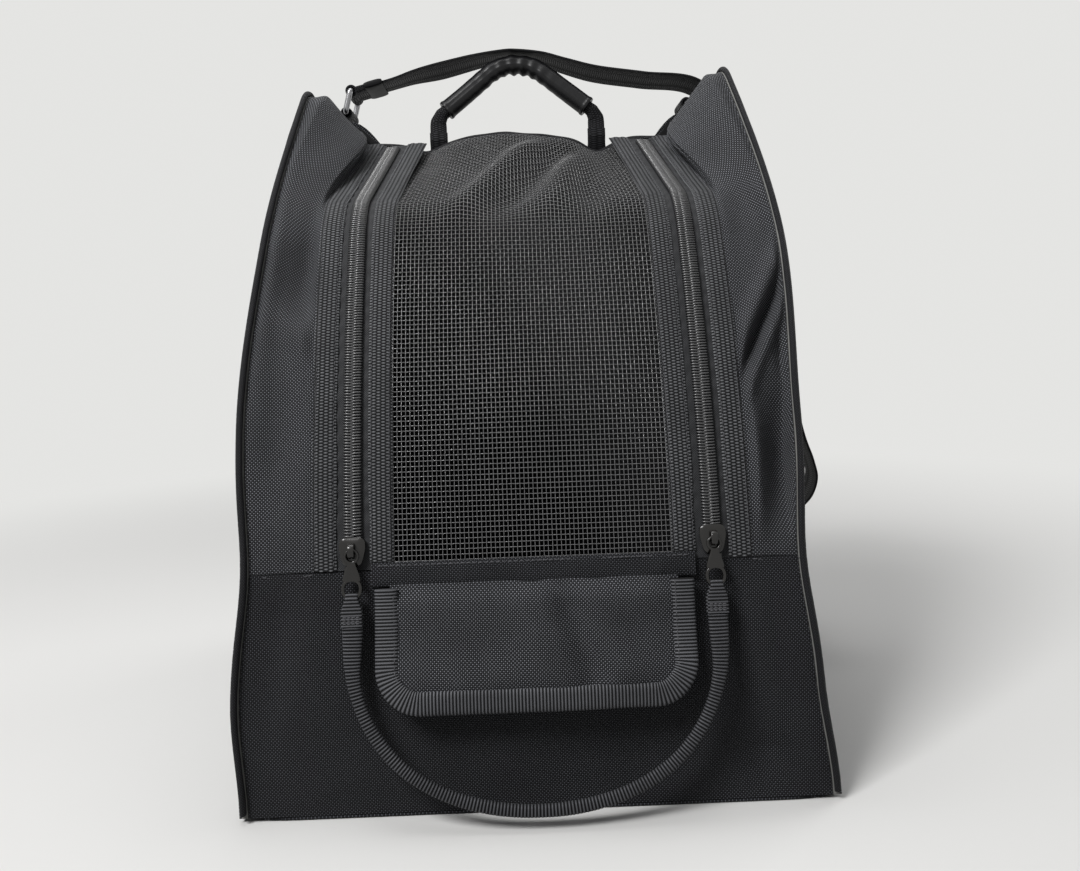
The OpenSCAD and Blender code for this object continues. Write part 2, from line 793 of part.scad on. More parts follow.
module right_pull_tab() {
    arm_from = bridge_w / 2 + run_gap;
    arm_low = -norm([bridge_half + bridge_t, bridge_half + bridge_t]) - run_gap;
    color("#2a2b30")
        on_pull()
            translate([zip_x, 0, 0]) {
                rotate([0, 90, 0]) cylinder(r = pin_r, h = pull_w, center = true);
                for (s = [0, 1])
                    mirror([s, 0, 0])
                        translate([arm_from, -pull_t / 2, arm_low - pull_t])
                            cube([pull_w / 2 - arm_from, pull_t, -arm_low + pull_t]);
                along_y(-pull_t / 2, pull_t / 2)
                    difference() {
                        union() {
                            translate([-pull_w / 2, -pull_l]) square([pull_w, pull_l + arm_low]);
                            translate([0, -pull_l]) circle(pull_w / 2);
                        }
                        translate([0, -pull_l]) circle(pull_eye_r);
                    }
            }
}

module left_pull_tab() {
    left() right_pull_tab();
}

// Pull strap: folded webbing from eye to eye, with its ends round the pull tabs
module pull_strap() {
    steps = 24;
    route = concat([[-zip_x, -pull_l + 2]],
        [for (i = [0:steps]) let (a = 180 * i / steps)
            [-zip_x * cos(a), -pull_leg - pull_drop * sin(a)]],
        [[zip_x, -pull_l + 2]]);
    pocket_t = pull_t + 2 * seat_gap;
    pocket_low = -pull_l - pull_w / 2 - seat_gap;
    plug_r = pull_eye_r - seat_gap;
    color("#1a1b1e")
        on_pull() {
            difference() {
                along_y(-pull_strap_t / 2, pull_strap_t / 2) polygon(ribbon(route, pull_strap_w));
                for (s = [-1, 1])
                    translate([s * zip_x - pull_w, -pocket_t / 2, pocket_low])
                        cube([2 * pull_w, pocket_t, pull_l]);
            }
            for (s = [-1, 1])
                translate([s * zip_x, 0, -pull_l])
                    rotate([90, 0, 0]) cylinder(r = plug_r, h = pull_strap_t - pull_t / 2, center = true);
        }
}

// Webbing sewn down the rear wall, with a bead along its top edge that the handle's foot turns on
module right_handle_foot_patch() {
    neck_t = foot_t / 3;
    low = roll_up - foot_sewn;
    color("#17181b")
        on_back()
            along_x(foot_x - foot_w / 2, foot_x + foot_w / 2)
                union() {
                    translate([0, low]) square([foot_t, foot_sewn]);
                    translate([0, low]) square([neck_t, hinge_wall[1] - low]);
                    translate(hinge_wall) circle(bead_r);
                }
}

module left_handle_foot_patch() {
    left() right_handle_foot_patch();
}

module on_handle() {
    translate([0, hinge_y, hinge_z])
        rotate([-handle_lean, 0, 0]) children();
}

// Middle line of the handle as [x, z]: up one leg, over the bend and down the other
bend_steps = 10;
function leg_point(l) = [foot_x - l * cos(leg_rise), foot_l + l * sin(leg_rise)];
function bend_point(a) = [handle_bend * sin(a), handle_mid + handle_bend * cos(a)];
function handle_line(start) = let (
    leg = [leg_point(start), leg_point((start + leg_l) / 2)],
    bend = [for (i = [0:bend_steps]) bend_point(leg_rise - 2 * leg_rise * i / bend_steps)])
    concat(leg, bend, [for (i = [1, 0]) [-leg[i][0], leg[i][1]]]);

// Rings of points round a line of [x, z], or of [x, z, y] where it leaves the x-z plane
function rings(line, r) = [for (i = [0:len(line) - 1]) let (n = across(line, i), y = line[i][2])
    [for (k = [0:round_sides - 1]) let (a = 360 * k / round_sides)
        [line[i][0] + r * cos(a) * n[0], (is_undef(y) ? 0 : y) + r * sin(a),
        line[i][1] + r * cos(a) * n[1]]]];
round_sides = 16;

// A closed round rod along such a line
module rod(line, r) {
    count = len(line) * round_sides;
    points = [for (ring = rings(line, r), p = ring) p];
    wall = [for (i = [0:len(line) - 2], k = [0:round_sides - 1])
        let (a = i * round_sides + k, b = i * round_sides + (k + 1) % round_sides)
        each [[a, b, b + round_sides], [a, b + round_sides, a + round_sides]]];
    polyhedron(points, concat(wall,
        [[for (k = [round_sides - 1:-1:0]) k]],
        [[for (k = [0:round_sides - 1]) count - round_sides + k]]));
}

module handle_webbing() {
    foot_from = bead_r + run_gap;
    color("#17181b")
        on_handle() {
            rod(handle_line(0), core_r);
            for (s = [-1, 1])
                translate([s * foot_x - foot_w / 2, -foot_t / 2, foot_from])
                    cube([foot_w, foot_t, foot_l + core_r / 2 - foot_from]);
        }
}

module handle_grip() {
    color("#101012")
        on_handle()
            difference() {
                rod(handle_line(grip_start), grip_r);
                rod(handle_line(0), core_r + seat_gap);
            }
}

// Webbing loop that holds a ring's inner bar, sewn by its edge to the rear wall
module right_ring_anchor() {
    tongue = 30;
    color("#17181b")
        difference() {
            along_y(0, strap_y + strap_w)
                difference() {
                    union() {
                        translate(anchor_bar) circle(loop_r + strap_t);
                        translate(anchor_bar - [strap_t, tongue]) square([2 * strap_t, tongue]);
                    }
                    translate(anchor_bar) circle(loop_r);
                }
            on_back()
                translate([0, -over, -over]) cube([over, over, 3 * over]);
            translate([0, -over + strap_y, anchor_bar[1] - loop_r - 2 * strap_t]) cube([over, over, over]);
        }
}

module left_ring_anchor() {
    left() right_ring_anchor();
}

// A ring: two round bars along Y, with a flat link across their ends at each side
module ring(p, q) {
    link_t = 2 * ring_r;
    link_w = 1.5 * ring_r;
    boss_r = ring_r + run_gap;
    ends = [strap_y - run_gap - link_t, strap_y + strap_w + run_gap];
    rise = atan2(q[1] - p[1], q[0] - p[0]);
    for (b = [p, q])
        along_y(ends[0] + link_t / 2, ends[1] + link_t / 2) translate(b) circle(ring_r);
    for (y = ends)
        along_y(y, y + link_t)
            union() {
                translate(p) rotate(rise) translate([0, -link_w / 2]) square([norm(q - p), link_w]);
                for (b = [p, q])
                    translate(b) circle(boss_r);
            }
}

module left_strap_ring() {
    color("#3c3d41") ring([-anchor_bar[0], anchor_bar[1]], left_bar);
}

module right_strap_ring() {
    color("#3c3d41") ring(anchor_bar, right_bar);
}

// Slide adjuster: a frame with a slot that the strap runs through
module strap_adjuster() {
    frame_l = 12;
    frame_t = 5;
    rim = 3;
    at = smooth(strap_route, adjuster_i, 0.5);
    dir = smooth(strap_route, adjuster_i, 0.6) - smooth(strap_route, adjuster_i, 0.4);
    color("#2a2b30")
        translate([at[0], strap_y + strap_w / 2, at[1]])
            rotate([0, -atan2(dir[1], dir[0]), 0])
                difference() {
                    cube([frame_l, strap_w + 2 * rim, frame_t], center = true);
                    cube([2 * frame_l, strap_w + 2 * run_gap, strap_t + 2 * run_gap], center = true);
                }
}

// Shoulder strap: from the left ring over the handle, down in a loop and up to the right ring
module shoulder_strap() {
    line = smooth_line(strap_route, strap_steps);
    color("#17181b")
        difference() {
            union() {
                along_y(strap_y, strap_y + strap_w) polygon(ribbon(line, strap_t));
                for (bar = [left_bar, right_bar])
                    along_y(strap_y, strap_y + strap_w) translate(bar) circle(loop_r + strap_t);
            }
            for (bar = [left_bar, right_bar])
                along_y(strap_y - 1, strap_y + strap_w + 1) translate(bar) circle(loop_r);
        }
}

base_panel();
base_board();
left_side_panel();
right_side_panel();
left_side_foam();
right_side_foam();
left_side_lining();
right_side_lining();
back_panel();
back_foam();
back_lining();
front_lower_panel();
left_front_gusset();
right_front_gusset();
left_piping();
right_piping();
rear_rim_roll();
left_outer_binding();
right_outer_binding();
left_bag_tape();
right_bag_tape();
left_bag_coil();
right_bag_coil();
zip_bottom_stops();
zip_top_stops();
flap_net();
left_flap_binding();
right_flap_binding();
left_flap_tape();
right_flap_tape();
left_flap_coil();
right_flap_coil();
flap_hem();
tab_front();
tab_foam();
tab_back();
tab_binding();
left_slider();
right_slider();
left_pull_tab();
right_pull_tab();
pull_strap();
left_handle_foot_patch();
right_handle_foot_patch();
handle_webbing();
handle_grip();
left_ring_anchor();
right_ring_anchor();
left_strap_ring();
right_strap_ring();
strap_adjuster();
shoulder_strap();
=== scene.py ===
"""Skate bag: the looks of the part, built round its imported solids. Lengths are in mm until a mesh is made."""

import bmesh
import bpy
import numpy as np
from mathutils import Matrix, Vector


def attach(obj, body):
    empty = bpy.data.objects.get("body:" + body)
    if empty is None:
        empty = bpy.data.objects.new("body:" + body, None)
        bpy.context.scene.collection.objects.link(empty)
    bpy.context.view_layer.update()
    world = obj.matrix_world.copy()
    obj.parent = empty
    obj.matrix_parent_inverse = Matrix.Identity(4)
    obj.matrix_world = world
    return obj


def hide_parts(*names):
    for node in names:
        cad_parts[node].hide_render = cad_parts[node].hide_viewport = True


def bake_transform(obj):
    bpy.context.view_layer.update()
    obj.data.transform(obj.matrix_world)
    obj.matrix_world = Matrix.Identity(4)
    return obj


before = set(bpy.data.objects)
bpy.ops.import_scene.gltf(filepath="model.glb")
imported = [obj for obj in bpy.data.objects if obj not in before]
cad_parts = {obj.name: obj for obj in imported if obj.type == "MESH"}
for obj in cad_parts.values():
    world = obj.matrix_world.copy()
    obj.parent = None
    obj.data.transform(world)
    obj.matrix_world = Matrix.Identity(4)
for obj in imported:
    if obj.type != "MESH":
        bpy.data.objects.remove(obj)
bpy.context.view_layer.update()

MM = 0.001

# Sizes of the solids, as the part's source names them
BASE_W, BASE_D, BASE_T = 300.0, 310.0, 2.0
EAR_H, EAR_R, FRONT_R, BEND_R = 389.0, 24.0, 560.0, 60.0
SIDE_LEAN, TOP_SLOPE = np.radians(3.1), np.radians(29.5)
RIM_H, ROLL_R, SEAM_H = 361.0, 4.0, 122.0
SHELL_T, FOAM_T, LINING_T, FRONT_T = 1.2, 3.0, 0.6, 2.4
WALL_T = SHELL_T + FOAM_T + LINING_T
PIPING_R, RUN_GAP, SEAT_GAP = 2.2, 0.3, 0.2
ZIP_X, ZIP_TAPER, TAPE_REACH, BINDING_W, BINDING_T = 89.0, 10.0, 9.0, 12.0, 0.9
TAPE_OUT, TAPE_T = -0.2, 0.8
HEM_H, HEM_T, HEM_LAP = 12.0, 2.0, 4.0
TAB_W, TAB_H, TAB_CORNER, TAB_BINDING_W = 156.0, 60.0, 22.0, 11.0
FOOT_X, FOOT_W, FOOT_T, FOOT_L, FOOT_SEWN = 52.0, 15.0, 2.4, 15.0, 40.0
HANDLE_H, HANDLE_BEND, GRIP_R, CORE_R, GRIP_START = 49.0, 28.0, 6.5, 4.0, 7.0
HANDLE_LEAN, PULL_LEAN = np.radians(8.0), np.radians(12.5)
PULL_L, PULL_LEG, PULL_DROP = 18.0, 60.0, 66.0
STRAP_W, STRAP_T = 25.0, 1.6
BOW, BOW_UP, BOW_LOW_L, BOW_HIGH_L, PINCH, PINCH_L = 8.0, 285.0, 110.0, 85.0, 4.0, 35.0

# How the bag stands askew: the sides lean over in their lower half, and each ear is raised or lowered
SKEW, SKEW_FOOT, SKEW_FROM, SKEW_TO = 4.5, 60.0, 190.0, 290.0
EAR_RISE, RISE_FROM, RISE_TO = {-1: -4.5, 1: 3.0}, 150.0, 385.0

# Waves of the rear rim: height, place across and width
RIM_WAVES = (5, -8, 32), (-8, 52, 13), (-6, -60, 13)

# Pitch of the ribs and length of a dash, of grosgrain and of webbing
RIB, DASH = 1.65, 2.4
WEB_RIB, WEB_DASH = 1.4, 1.6

# Side outline in the plane of its panel
HALF_W, HALF_D = BASE_W / 2, BASE_D / 2
INNER_HALF = HALF_W - WALL_T / np.cos(SIDE_LEAN)
MID_Y = FRONT_R - HALF_D
EAR_TOP = (EAR_H - BASE_T) / np.cos(SIDE_LEAN)
EAR_Z = EAR_TOP - EAR_R
EAR_Y = MID_Y - np.sqrt((FRONT_R - EAR_R) ** 2 - EAR_Z ** 2)
EAR_FROM = np.arcsin(EAR_Z / (FRONT_R - EAR_R))
EAR_REACH = np.hypot(HALF_D - EAR_Y, EAR_Z)
EDGE_LEAN = np.arctan2(HALF_D - EAR_Y, EAR_Z) - np.arcsin(EAR_R / EAR_REACH)
EDGE_L = np.sqrt(EAR_REACH ** 2 - EAR_R ** 2)
EAR_TO = np.pi - EDGE_LEAN

# Rear wall and rim
BACK_TOP = EDGE_L * np.cos(EDGE_LEAN) * np.cos(SIDE_LEAN)
BACK_LEAN = np.arctan2(EDGE_L * np.sin(EDGE_LEAN), BACK_TOP)
BACK_L = BACK_TOP / np.cos(BACK_LEAN)
ROLL_UP = (RIM_H - BASE_T) / np.cos(BACK_LEAN) - ROLL_R
ROLL_Y = HALF_D - ROLL_R * np.cos(BACK_LEAN) - ROLL_UP * np.sin(BACK_LEAN)
ROLL_Z = BASE_T - ROLL_R * np.sin(BACK_LEAN) + ROLL_UP * np.cos(BACK_LEAN)

# Outline of the flap: front curve, bend and straight top
RIM_Y = ROLL_Y - ROLL_R - RUN_GAP - FRONT_T * np.sin(TOP_SLOPE)
RIM_Z = ROLL_Z + ROLL_R / 2
TOP_DIR = np.array([np.cos(TOP_SLOPE), np.sin(TOP_SLOPE)])
TOP_OUT = np.array([-np.sin(TOP_SLOPE), np.cos(TOP_SLOPE)])
RIM_IN = np.array([RIM_Y - MID_Y, RIM_Z - BASE_T]) - BEND_R * TOP_OUT
RIM_ALONG = RIM_IN @ TOP_DIR
TOP_L = RIM_ALONG + np.sqrt(RIM_ALONG ** 2 - RIM_IN @ RIM_IN + (FRONT_R - BEND_R) ** 2)
BEND_MID = np.array([MID_Y, BASE_T]) + RIM_IN - TOP_L * TOP_DIR
BEND_FROM = np.arcsin((BEND_MID[1] - BASE_T) / (FRONT_R - BEND_R))
BEND_L = BEND_R * (np.pi / 2 - TOP_SLOPE - BEND_FROM)
SEAM_A = np.arcsin((SEAM_H - BASE_T) / FRONT_R)
ARC_L = FRONT_R * (BEND_FROM - SEAM_A)
FLAP_L = ARC_L + BEND_L + TOP_L
EDGE_ARC_L = FRONT_R * (EAR_FROM - BEND_FROM)
EAR_ARC_L = EAR_R * (EAR_TO - EAR_FROM)


def xyz(x, y, z):
    """Arrays of x, y and z, brought to one shape, as points."""
    return np.stack(np.broadcast_arrays(x, y, z), -1)


def front_arc(a, n=0.0):
    """y and z on the front curve: a circle about (MID_Y, BASE_T), angle a up from the floor, n outward."""
    return MID_Y - (FRONT_R + n) * np.cos(a), BASE_T + (FRONT_R + n) * np.sin(a)


def flap_out(l, n=0.0):
    """y and z on the flap's outline, l along it from the seam, n outward.

    The outline is the front curve, then the bend's circle, then a straight line to the rim."""
    l, n = np.broadcast_arrays(np.asarray(l, float), np.asarray(n, float))
    y1, z1 = front_arc(SEAM_A + l / FRONT_R, n)
    a = BEND_FROM + (l - ARC_L) / BEND_R
    y2, z2 = BEND_MID[0] - (BEND_R + n) * np.cos(a), BEND_MID[1] + (BEND_R + n) * np.sin(a)
    s = l - FLAP_L
    y3, z3 = RIM_Y + s * TOP_DIR[0] + n * TOP_OUT[0], RIM_Z + s * TOP_DIR[1] + n * TOP_OUT[1]
    on_arc, on_bend = l < ARC_L, l < ARC_L + BEND_L
    return np.where(on_arc, y1, np.where(on_bend, y2, y3)), np.where(on_arc, z1, np.where(on_bend, z2, z3))


TAPER_Y = float(flap_out(ARC_L + BEND_L)[0])


def zip_at(y):
    """Distance of a zip from the middle at depth y: constant on the front, then drawn in along the top."""
    return ZIP_X - ZIP_TAPER * np.maximum(0, y - TAPER_Y) / (RIM_Y - TAPER_Y)


RIM_REACH = zip_at(RIM_Y) + TAPE_REACH + BINDING_W


def on_zip(side, c, l, n):
    """Points beside a zip: c outward from the middle of its chain, l along it, n over the panel."""
    return xyz(side * (zip_at(flap_out(l)[0]) + c), *flap_out(l, n))


def side_edge(r, n=0.0):
    """Side outline as y and height in the panel, n outward: the front curve's circle, then the ear's.

    r is 0 at the floor, 1 at the height of the flap's bend and 2 behind the ear."""
    r, n = np.broadcast_arrays(np.asarray(r, float), np.asarray(n, float))
    a = np.minimum(r, 1) * BEND_FROM
    s = np.maximum(r - 1, 0) * (EDGE_ARC_L + EAR_ARC_L)
    a = a + np.minimum(s, EDGE_ARC_L) / FRONT_R
    b = EAR_FROM + np.maximum(s - EDGE_ARC_L, 0) / EAR_R
    on_ear = s > EDGE_ARC_L
    y = np.where(on_ear, EAR_Y - (EAR_R + n) * np.cos(b), MID_Y - (FRONT_R + n) * np.cos(a))
    h = np.where(on_ear, EAR_Z + (EAR_R + n) * np.sin(b), (FRONT_R + n) * np.sin(a))
    return y, h


def side_bow(h, side):
    """How far the stuffed sides bow out of their plane at height h: a broad hump under the ears, a
    pinch at the seam.

    The bag stands a little askew, so that the left side bows more and the right side less in the lower
    half."""
    skew = -SKEW * side * ramp(h, 0, SKEW_FOOT) * (1 - ramp(h, SKEW_FROM, SKEW_TO))
    hump = BOW * hill(h, BOW_UP, np.where(h < BOW_UP, BOW_LOW_L, BOW_HIGH_L))
    return hump - PINCH * hill(h, SEAM_H - BASE_T, PINCH_L) + skew


def side_point(side, y, h, d):
    """A point of a side panel: y to the rear, h up the panel, d under its outer face.

    The panel leans in by SIDE_LEAN and bows. The left ear stands a little lower than the right one."""
    x = HALF_W - d * np.cos(SIDE_LEAN) - h * np.sin(SIDE_LEAN) + side_bow(h, side)
    h = h + EAR_RISE[side] * ramp(h, RISE_FROM, RISE_TO)
    return xyz(side * x, y, BASE_T - d * np.sin(SIDE_LEAN) + h * np.cos(SIDE_LEAN))


def back_point(x, u, d):
    """A point of the rear wall: u up the wall, d under its outer face; the wall leans forward by
    BACK_LEAN."""
    y = HALF_D - d * np.cos(BACK_LEAN) - u * np.sin(BACK_LEAN)
    return xyz(x, y, BASE_T - d * np.sin(BACK_LEAN) + u * np.cos(BACK_LEAN))


def leaning(at, lean, x, out, h):
    """A point of a plane that leans back by an angle: x across, h up from at, a depth and a height, out
    to the rear."""
    c, s = np.cos(lean), np.sin(lean)
    return xyz(x, at[0] + out * c + h * s, at[1] - out * s + h * c)


def hill(x, at, width):
    """A smooth hump of height 1: exp of minus the squared distance over the width."""
    return np.exp(-((x - at) / width) ** 2)


def ramp(x, low, high):
    """Smoothstep: 0 below low, 1 above high."""
    t = np.clip((x - low) / (high - low), 0, 1)
    return t * t * (3 - 2 * t)


def held(v, foot, top):
    """1 between two seams, falling in straight lines to 0 at v = 0 with slope foot and at v = 1 with
    slope top."""
    return np.minimum(1, top * (1 - v)) * np.minimum(1, foot * v)


def soft(u, v, seed, cells):
    """Smooth seeded unevenness about 0: a sum of eight plane waves of random direction, up to cells
    waves across."""
    draw = np.random.default_rng(seed)
    total = np.zeros(np.broadcast(u, v).shape)
    for _ in range(8):
        angle, phase = draw.uniform(0, 2 * np.pi, 2)
        count = draw.uniform(0.3, 1) * cells
        total += np.sin(2 * np.pi * count * (u * np.cos(angle) + v * np.sin(angle)) + phase)
    return total / 4


def rim_wave(x):
    """How far the rear rim and the net's end rise or sag at x: one broad hump with a hollow at each
    side."""
    return sum(height * hill(x, at, width) for height, at, width in RIM_WAVES)


def turn(count):
    """Angles of one full turn in count equal steps."""
    return np.linspace(0, 2 * np.pi, count, endpoint=False)


# Meshes

WELD = 1e-7


def quads_of(index):
    """Quads between the neighbours of a grid of point numbers."""
    return np.stack([index[:-1, :-1], index[:-1, 1:], index[1:, 1:], index[1:, :-1]], -1).reshape(-1, 4)


def piece(name, points, faces, uv, body, slot, material, nodes=(), crease=50):
    """Makes a mesh object of points, faces and a UV for each point, all in mm, and hands it to the frame.

    Seams are welded, faces turned outward, and edges bent by more than crease degrees stay sharp."""
    mesh = bpy.data.meshes.new(name)
    mesh.from_pydata((np.asarray(points).reshape(-1, 3) * MM).tolist(), [], [list(f) for f in faces])
    layer = mesh.uv_layers.new(name="UVMap")
    corner = np.empty(len(mesh.loops), dtype=np.int32)
    mesh.loops.foreach_get("vertex_index", corner)
    layer.data.foreach_set("uv", (np.asarray(uv).reshape(-1, 2)[corner] * MM).ravel())
    work = bmesh.new()
    work.from_mesh(mesh)
    bmesh.ops.remove_doubles(work, verts=work.verts, dist=WELD)
    bmesh.ops.recalc_face_normals(work, faces=work.faces)
    work.to_mesh(mesh)
    work.free()
    mesh.polygons.foreach_set("use_smooth", np.ones(len(mesh.polygons), dtype=bool))
    mesh.set_sharp_from_angle(angle=np.radians(crease))
    mesh.materials.append(material)
    made = bpy.data.objects.new(name, mesh)
    bpy.context.scene.collection.objects.link(made)
    if body:
        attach(made, body)
    if nodes:
        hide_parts(*nodes)
    return made


def shell(outer, inner, u, v):
    """A closed sheet between two grids of points, joined round its four edges, with u and v in mm as
    its UV."""
    rows, cols = outer.shape[:2]
    top = np.arange(rows * cols).reshape(rows, cols)
    low = top + rows * cols
    rim = np.concatenate([top[0, :-1], top[:-1, -1], top[-1, :0:-1], top[:0:-1, 0]])
    rim_low = rim + rows * cols
    around = np.stack([rim, np.roll(rim, -1), np.roll(rim_low, -1), rim_low], -1)
    faces = np.concatenate([quads_of(top), quads_of(low)[:, ::-1], around[:, ::-1]])
    uv = np.stack(np.broadcast_arrays(u, v), -1).reshape(-1, 2)
    return np.concatenate([outer.reshape(-1, 3), inner.reshape(-1, 3)]), faces, np.concatenate([uv, uv])


def pipe(rings, around, along, ends=True):
    """A closed skin over rings of points (rows, sides, 3): each ring starts and ends on its own copy of
    the seam point.

    Its u runs round a ring in equal steps up to around, or by length where around is 0."""
    rings = np.concatenate([rings, rings[:, :1]], 1)
    rows, cols = rings.shape[:2]
    index = np.arange(rows * cols).reshape(rows, cols)
    faces = quads_of(index).tolist()
    if ends:
        faces += [index[0, :-1][::-1].tolist(), index[-1, :-1].tolist()]
    u = np.linspace(0, around, cols) if around else length_along(rings[rows // 2])
    u, v = np.broadcast_arrays(u[None], np.asarray(along)[:, None])
    return rings.reshape(-1, 3), faces, np.stack([u, v], -1).reshape(-1, 2)


def bundle(rings):
    """Many tubes at once: rings is (tubes, rows, sides, 3); each tube is closed round its sides and at
    both ends."""
    tubes, rows, sides = rings.shape[:3]
    index = np.arange(tubes * rows * sides).reshape(tubes, rows, sides)
    near, far = index[:, :-1], index[:, 1:]
    faces = np.stack([near, np.roll(near, -1, 2), np.roll(far, -1, 2), far], -1).reshape(-1, 4).tolist()
    faces += index[:, 0, ::-1].tolist() + index[:, -1].tolist()
    return rings.reshape(-1, 3), faces


def unit(v):
    """Vectors divided by their own length."""
    return v / np.maximum(np.linalg.norm(v, axis=-1, keepdims=True), 1e-9)


def length_along(path):
    """Distance along a path at each of its points."""
    return np.concatenate([[0], np.cumsum(np.linalg.norm(np.diff(path, axis=0), axis=1))])


def from_end(l):
    """Distance from the nearer end of a path, at distances l along it."""
    return np.minimum(l, l[-1] - l)


def evenly(path, step):
    """The path drawn again with points a step apart, by linear interpolation over its length."""
    l = length_along(path)
    at = np.linspace(0, l[-1], max(int(l[-1] / step), 2) + 1)
    return np.stack([np.interp(at, l, path[:, k]) for k in range(path.shape[1])], -1)


def carried(path, out, across, lift, closed=False):
    """Rings of a profile carried along a path: across sideways and lift along out, the direction that
    the path faces."""
    along = unit(np.gradient(path, axis=0))
    if closed:
        along[[0, -1]] = unit(path[1] - path[-2])
    side = unit(np.cross(along, out))
    up = unit(np.cross(side, along))
    return path[:, None] + across[..., None] * side[:, None] + lift[..., None] * up[:, None]


def superellipse(a, half_w, half_h, power):
    """Points at angles a on |x / half_w|^p + |y / half_h|^p = 1, with p the power."""
    c, s = np.cos(a), np.sin(a)
    return (half_w * np.sign(c) * np.abs(c) ** (2 / power),
            half_h * np.sign(s) * np.abs(s) ** (2 / power))


def flat_round(w, t, sides, power):
    """Outline of webbing or wire, w wide and t thick: a superellipse."""
    return superellipse(turn(sides), w / 2, t / 2, power)


def oval(half_w, half_h, power, count=72):
    """A closed superellipse from its lowest point round to it again."""
    return superellipse(np.linspace(-np.pi / 2, 1.5 * np.pi, count + 1), half_w, half_h, power)


def joined(*parts):
    """Several skins, each points, faces and UV, as one."""
    starts = np.cumsum([0] + [len(p[0]) for p in parts])
    faces = [[k + n for k in face] for part, n in zip(parts, starts) for face in part[1]]
    return np.concatenate([p[0] for p in parts]), faces, np.concatenate([p[2] for p in parts])


# Materials: patterns in node trees, on each piece's own UV map, which is in metres

CLOTH_ROUGH, CLOTH_SHEEN, CLOTH_SPECULAR = 0.55, 0.02, 0.15
THREAD_GLOSS = 0.06
WORN_LEAST, WORN_MORE = 0.55, 0.7


def start(name, color, rough, specular):
    """A new material with its shader's constant values set, as (material, tree, shader)."""
    made = bpy.data.materials.new(name)
    made.use_nodes = True
    shader = made.node_tree.nodes["Principled BSDF"]
    shader.inputs["Base Color"].default_value = (*color, 1)
    shader.inputs["Roughness"].default_value = rough
    shader.inputs["Specular IOR Level"].default_value = specular
    return made, made.node_tree, shader


def feed(tree, socket, value):
    """Gives an input another node's output, or a number."""
    if isinstance(value, bpy.types.NodeSocket):
        tree.links.new(value, socket)
    else:
        socket.default_value = value


def calc(tree, operation, *values):
    """A Math node on sockets or numbers."""
    made = tree.nodes.new("ShaderNodeMath")
    made.operation = operation
    for socket, value in zip(made.inputs, values):
        feed(tree, socket, value)
    return made.outputs[0]


def uv_axes(tree, pitch_u, pitch_v):
    """The piece's u and v, in counts of a pitch in mm, times pi, so that a sine has one half wave to a
    pitch."""
    at = tree.nodes.new("ShaderNodeUVMap")
    at.uv_map = "UVMap"
    parts = tree.nodes.new("ShaderNodeSeparateXYZ")
    tree.links.new(at.outputs[0], parts.inputs[0])
    return [calc(tree, "MULTIPLY", part, np.pi / (pitch * MM))
            for part, pitch in zip(parts.outputs, (pitch_u, pitch_v))]


def noise(tree, scale, detail=3.0):
    """A Noise texture on Object coordinates, as its factor."""
    at = tree.nodes.new("ShaderNodeTexCoord")
    made = tree.nodes.new("ShaderNodeTexNoise")
    made.inputs["Scale"].default_value = scale
    made.inputs["Detail"].default_value = detail
    tree.links.new(at.outputs["Object"], made.inputs["Vector"])
    return made.outputs["Fac"]


def blend_color(tree, factor, low, high):
    """A colour that is low where factor is 0 and high where it is 1."""
    made = tree.nodes.new("ShaderNodeMix")
    made.data_type = "RGBA"
    tree.links.new(factor, made.inputs["Factor"])
    made.inputs["A"].default_value = (*low, 1)
    made.inputs["B"].default_value = (*high, 1)
    return made.outputs["Result"]


def spread(tree, factor, low, high):
    """Maps 0 to 1 on to low to high."""
    made = tree.nodes.new("ShaderNodeMapRange")
    tree.links.new(factor, made.inputs["Value"])
    made.inputs["To Min"].default_value = low
    made.inputs["To Max"].default_value = high
    return made.outputs["Result"]


def raise_by(tree, shader, height, distance):
    """Bump of a height, over a distance in mm."""
    made = tree.nodes.new("ShaderNodeBump")
    made.inputs["Distance"].default_value = distance * MM
    made.inputs["Strength"].default_value = 1.0
    tree.links.new(height, made.inputs["Height"])
    tree.links.new(made.outputs[0], shader.inputs["Normal"])


def tint(color, factor):
    """A colour made lighter or darker by a factor."""
    return tuple(c * factor for c in color)


def dress(tree, shader, glint_share, height, colors, depth, wear, matt):
    """Colour, gloss and bump of cloth: dark to light by the share of painted glint, rubbed by noise of scale
    wear, more matt in hollows."""
    worn = calc(tree, "MULTIPLY_ADD", noise(tree, wear), WORN_MORE, WORN_LEAST)
    color = blend_color(tree, calc(tree, "MULTIPLY", glint_share, worn), *colors)
    rough = spread(tree, height, CLOTH_ROUGH + matt, CLOTH_ROUGH - THREAD_GLOSS)
    for socket, value in (("Base Color", color), ("Roughness", rough), ("Sheen Weight", CLOTH_SHEEN)):
        feed(tree, shader.inputs[socket], value)
    raise_by(tree, shader, height, depth)


def woven(name, dark, light, pitch, depth):
    """Plain weave: |sin u sin v| raises each crossing.

    Where the product is above 0 the top thread is drawn to the light colour, else the under one, which shows a
    little. On black cloth that light colour is a painted glint on the raised threads."""
    made, tree, shader = start(name, light, CLOTH_ROUGH, CLOTH_SPECULAR)
    u, v = uv_axes(tree, pitch, pitch)
    cross = calc(tree, "MULTIPLY", calc(tree, "SINE", u), calc(tree, "SINE", v))
    height = calc(tree, "POWER", calc(tree, "ABSOLUTE", cross), 0.8)
    # Painted highlight: the top thread's glint, and a faint glint of the under thread
    top_thread_glint = calc(tree, "POWER", calc(tree, "MAXIMUM", cross, 0.0), 2.0)
    under_thread_glint = calc(tree, "MULTIPLY", cross, -0.12)
    glint_share = calc(tree, "MAXIMUM", top_thread_glint, under_thread_glint)
    shader.inputs["Sheen Roughness"].default_value = 0.45
    dress(tree, shader, glint_share, height, (dark, light), depth, wear=25.0, matt=0.2)
    return made


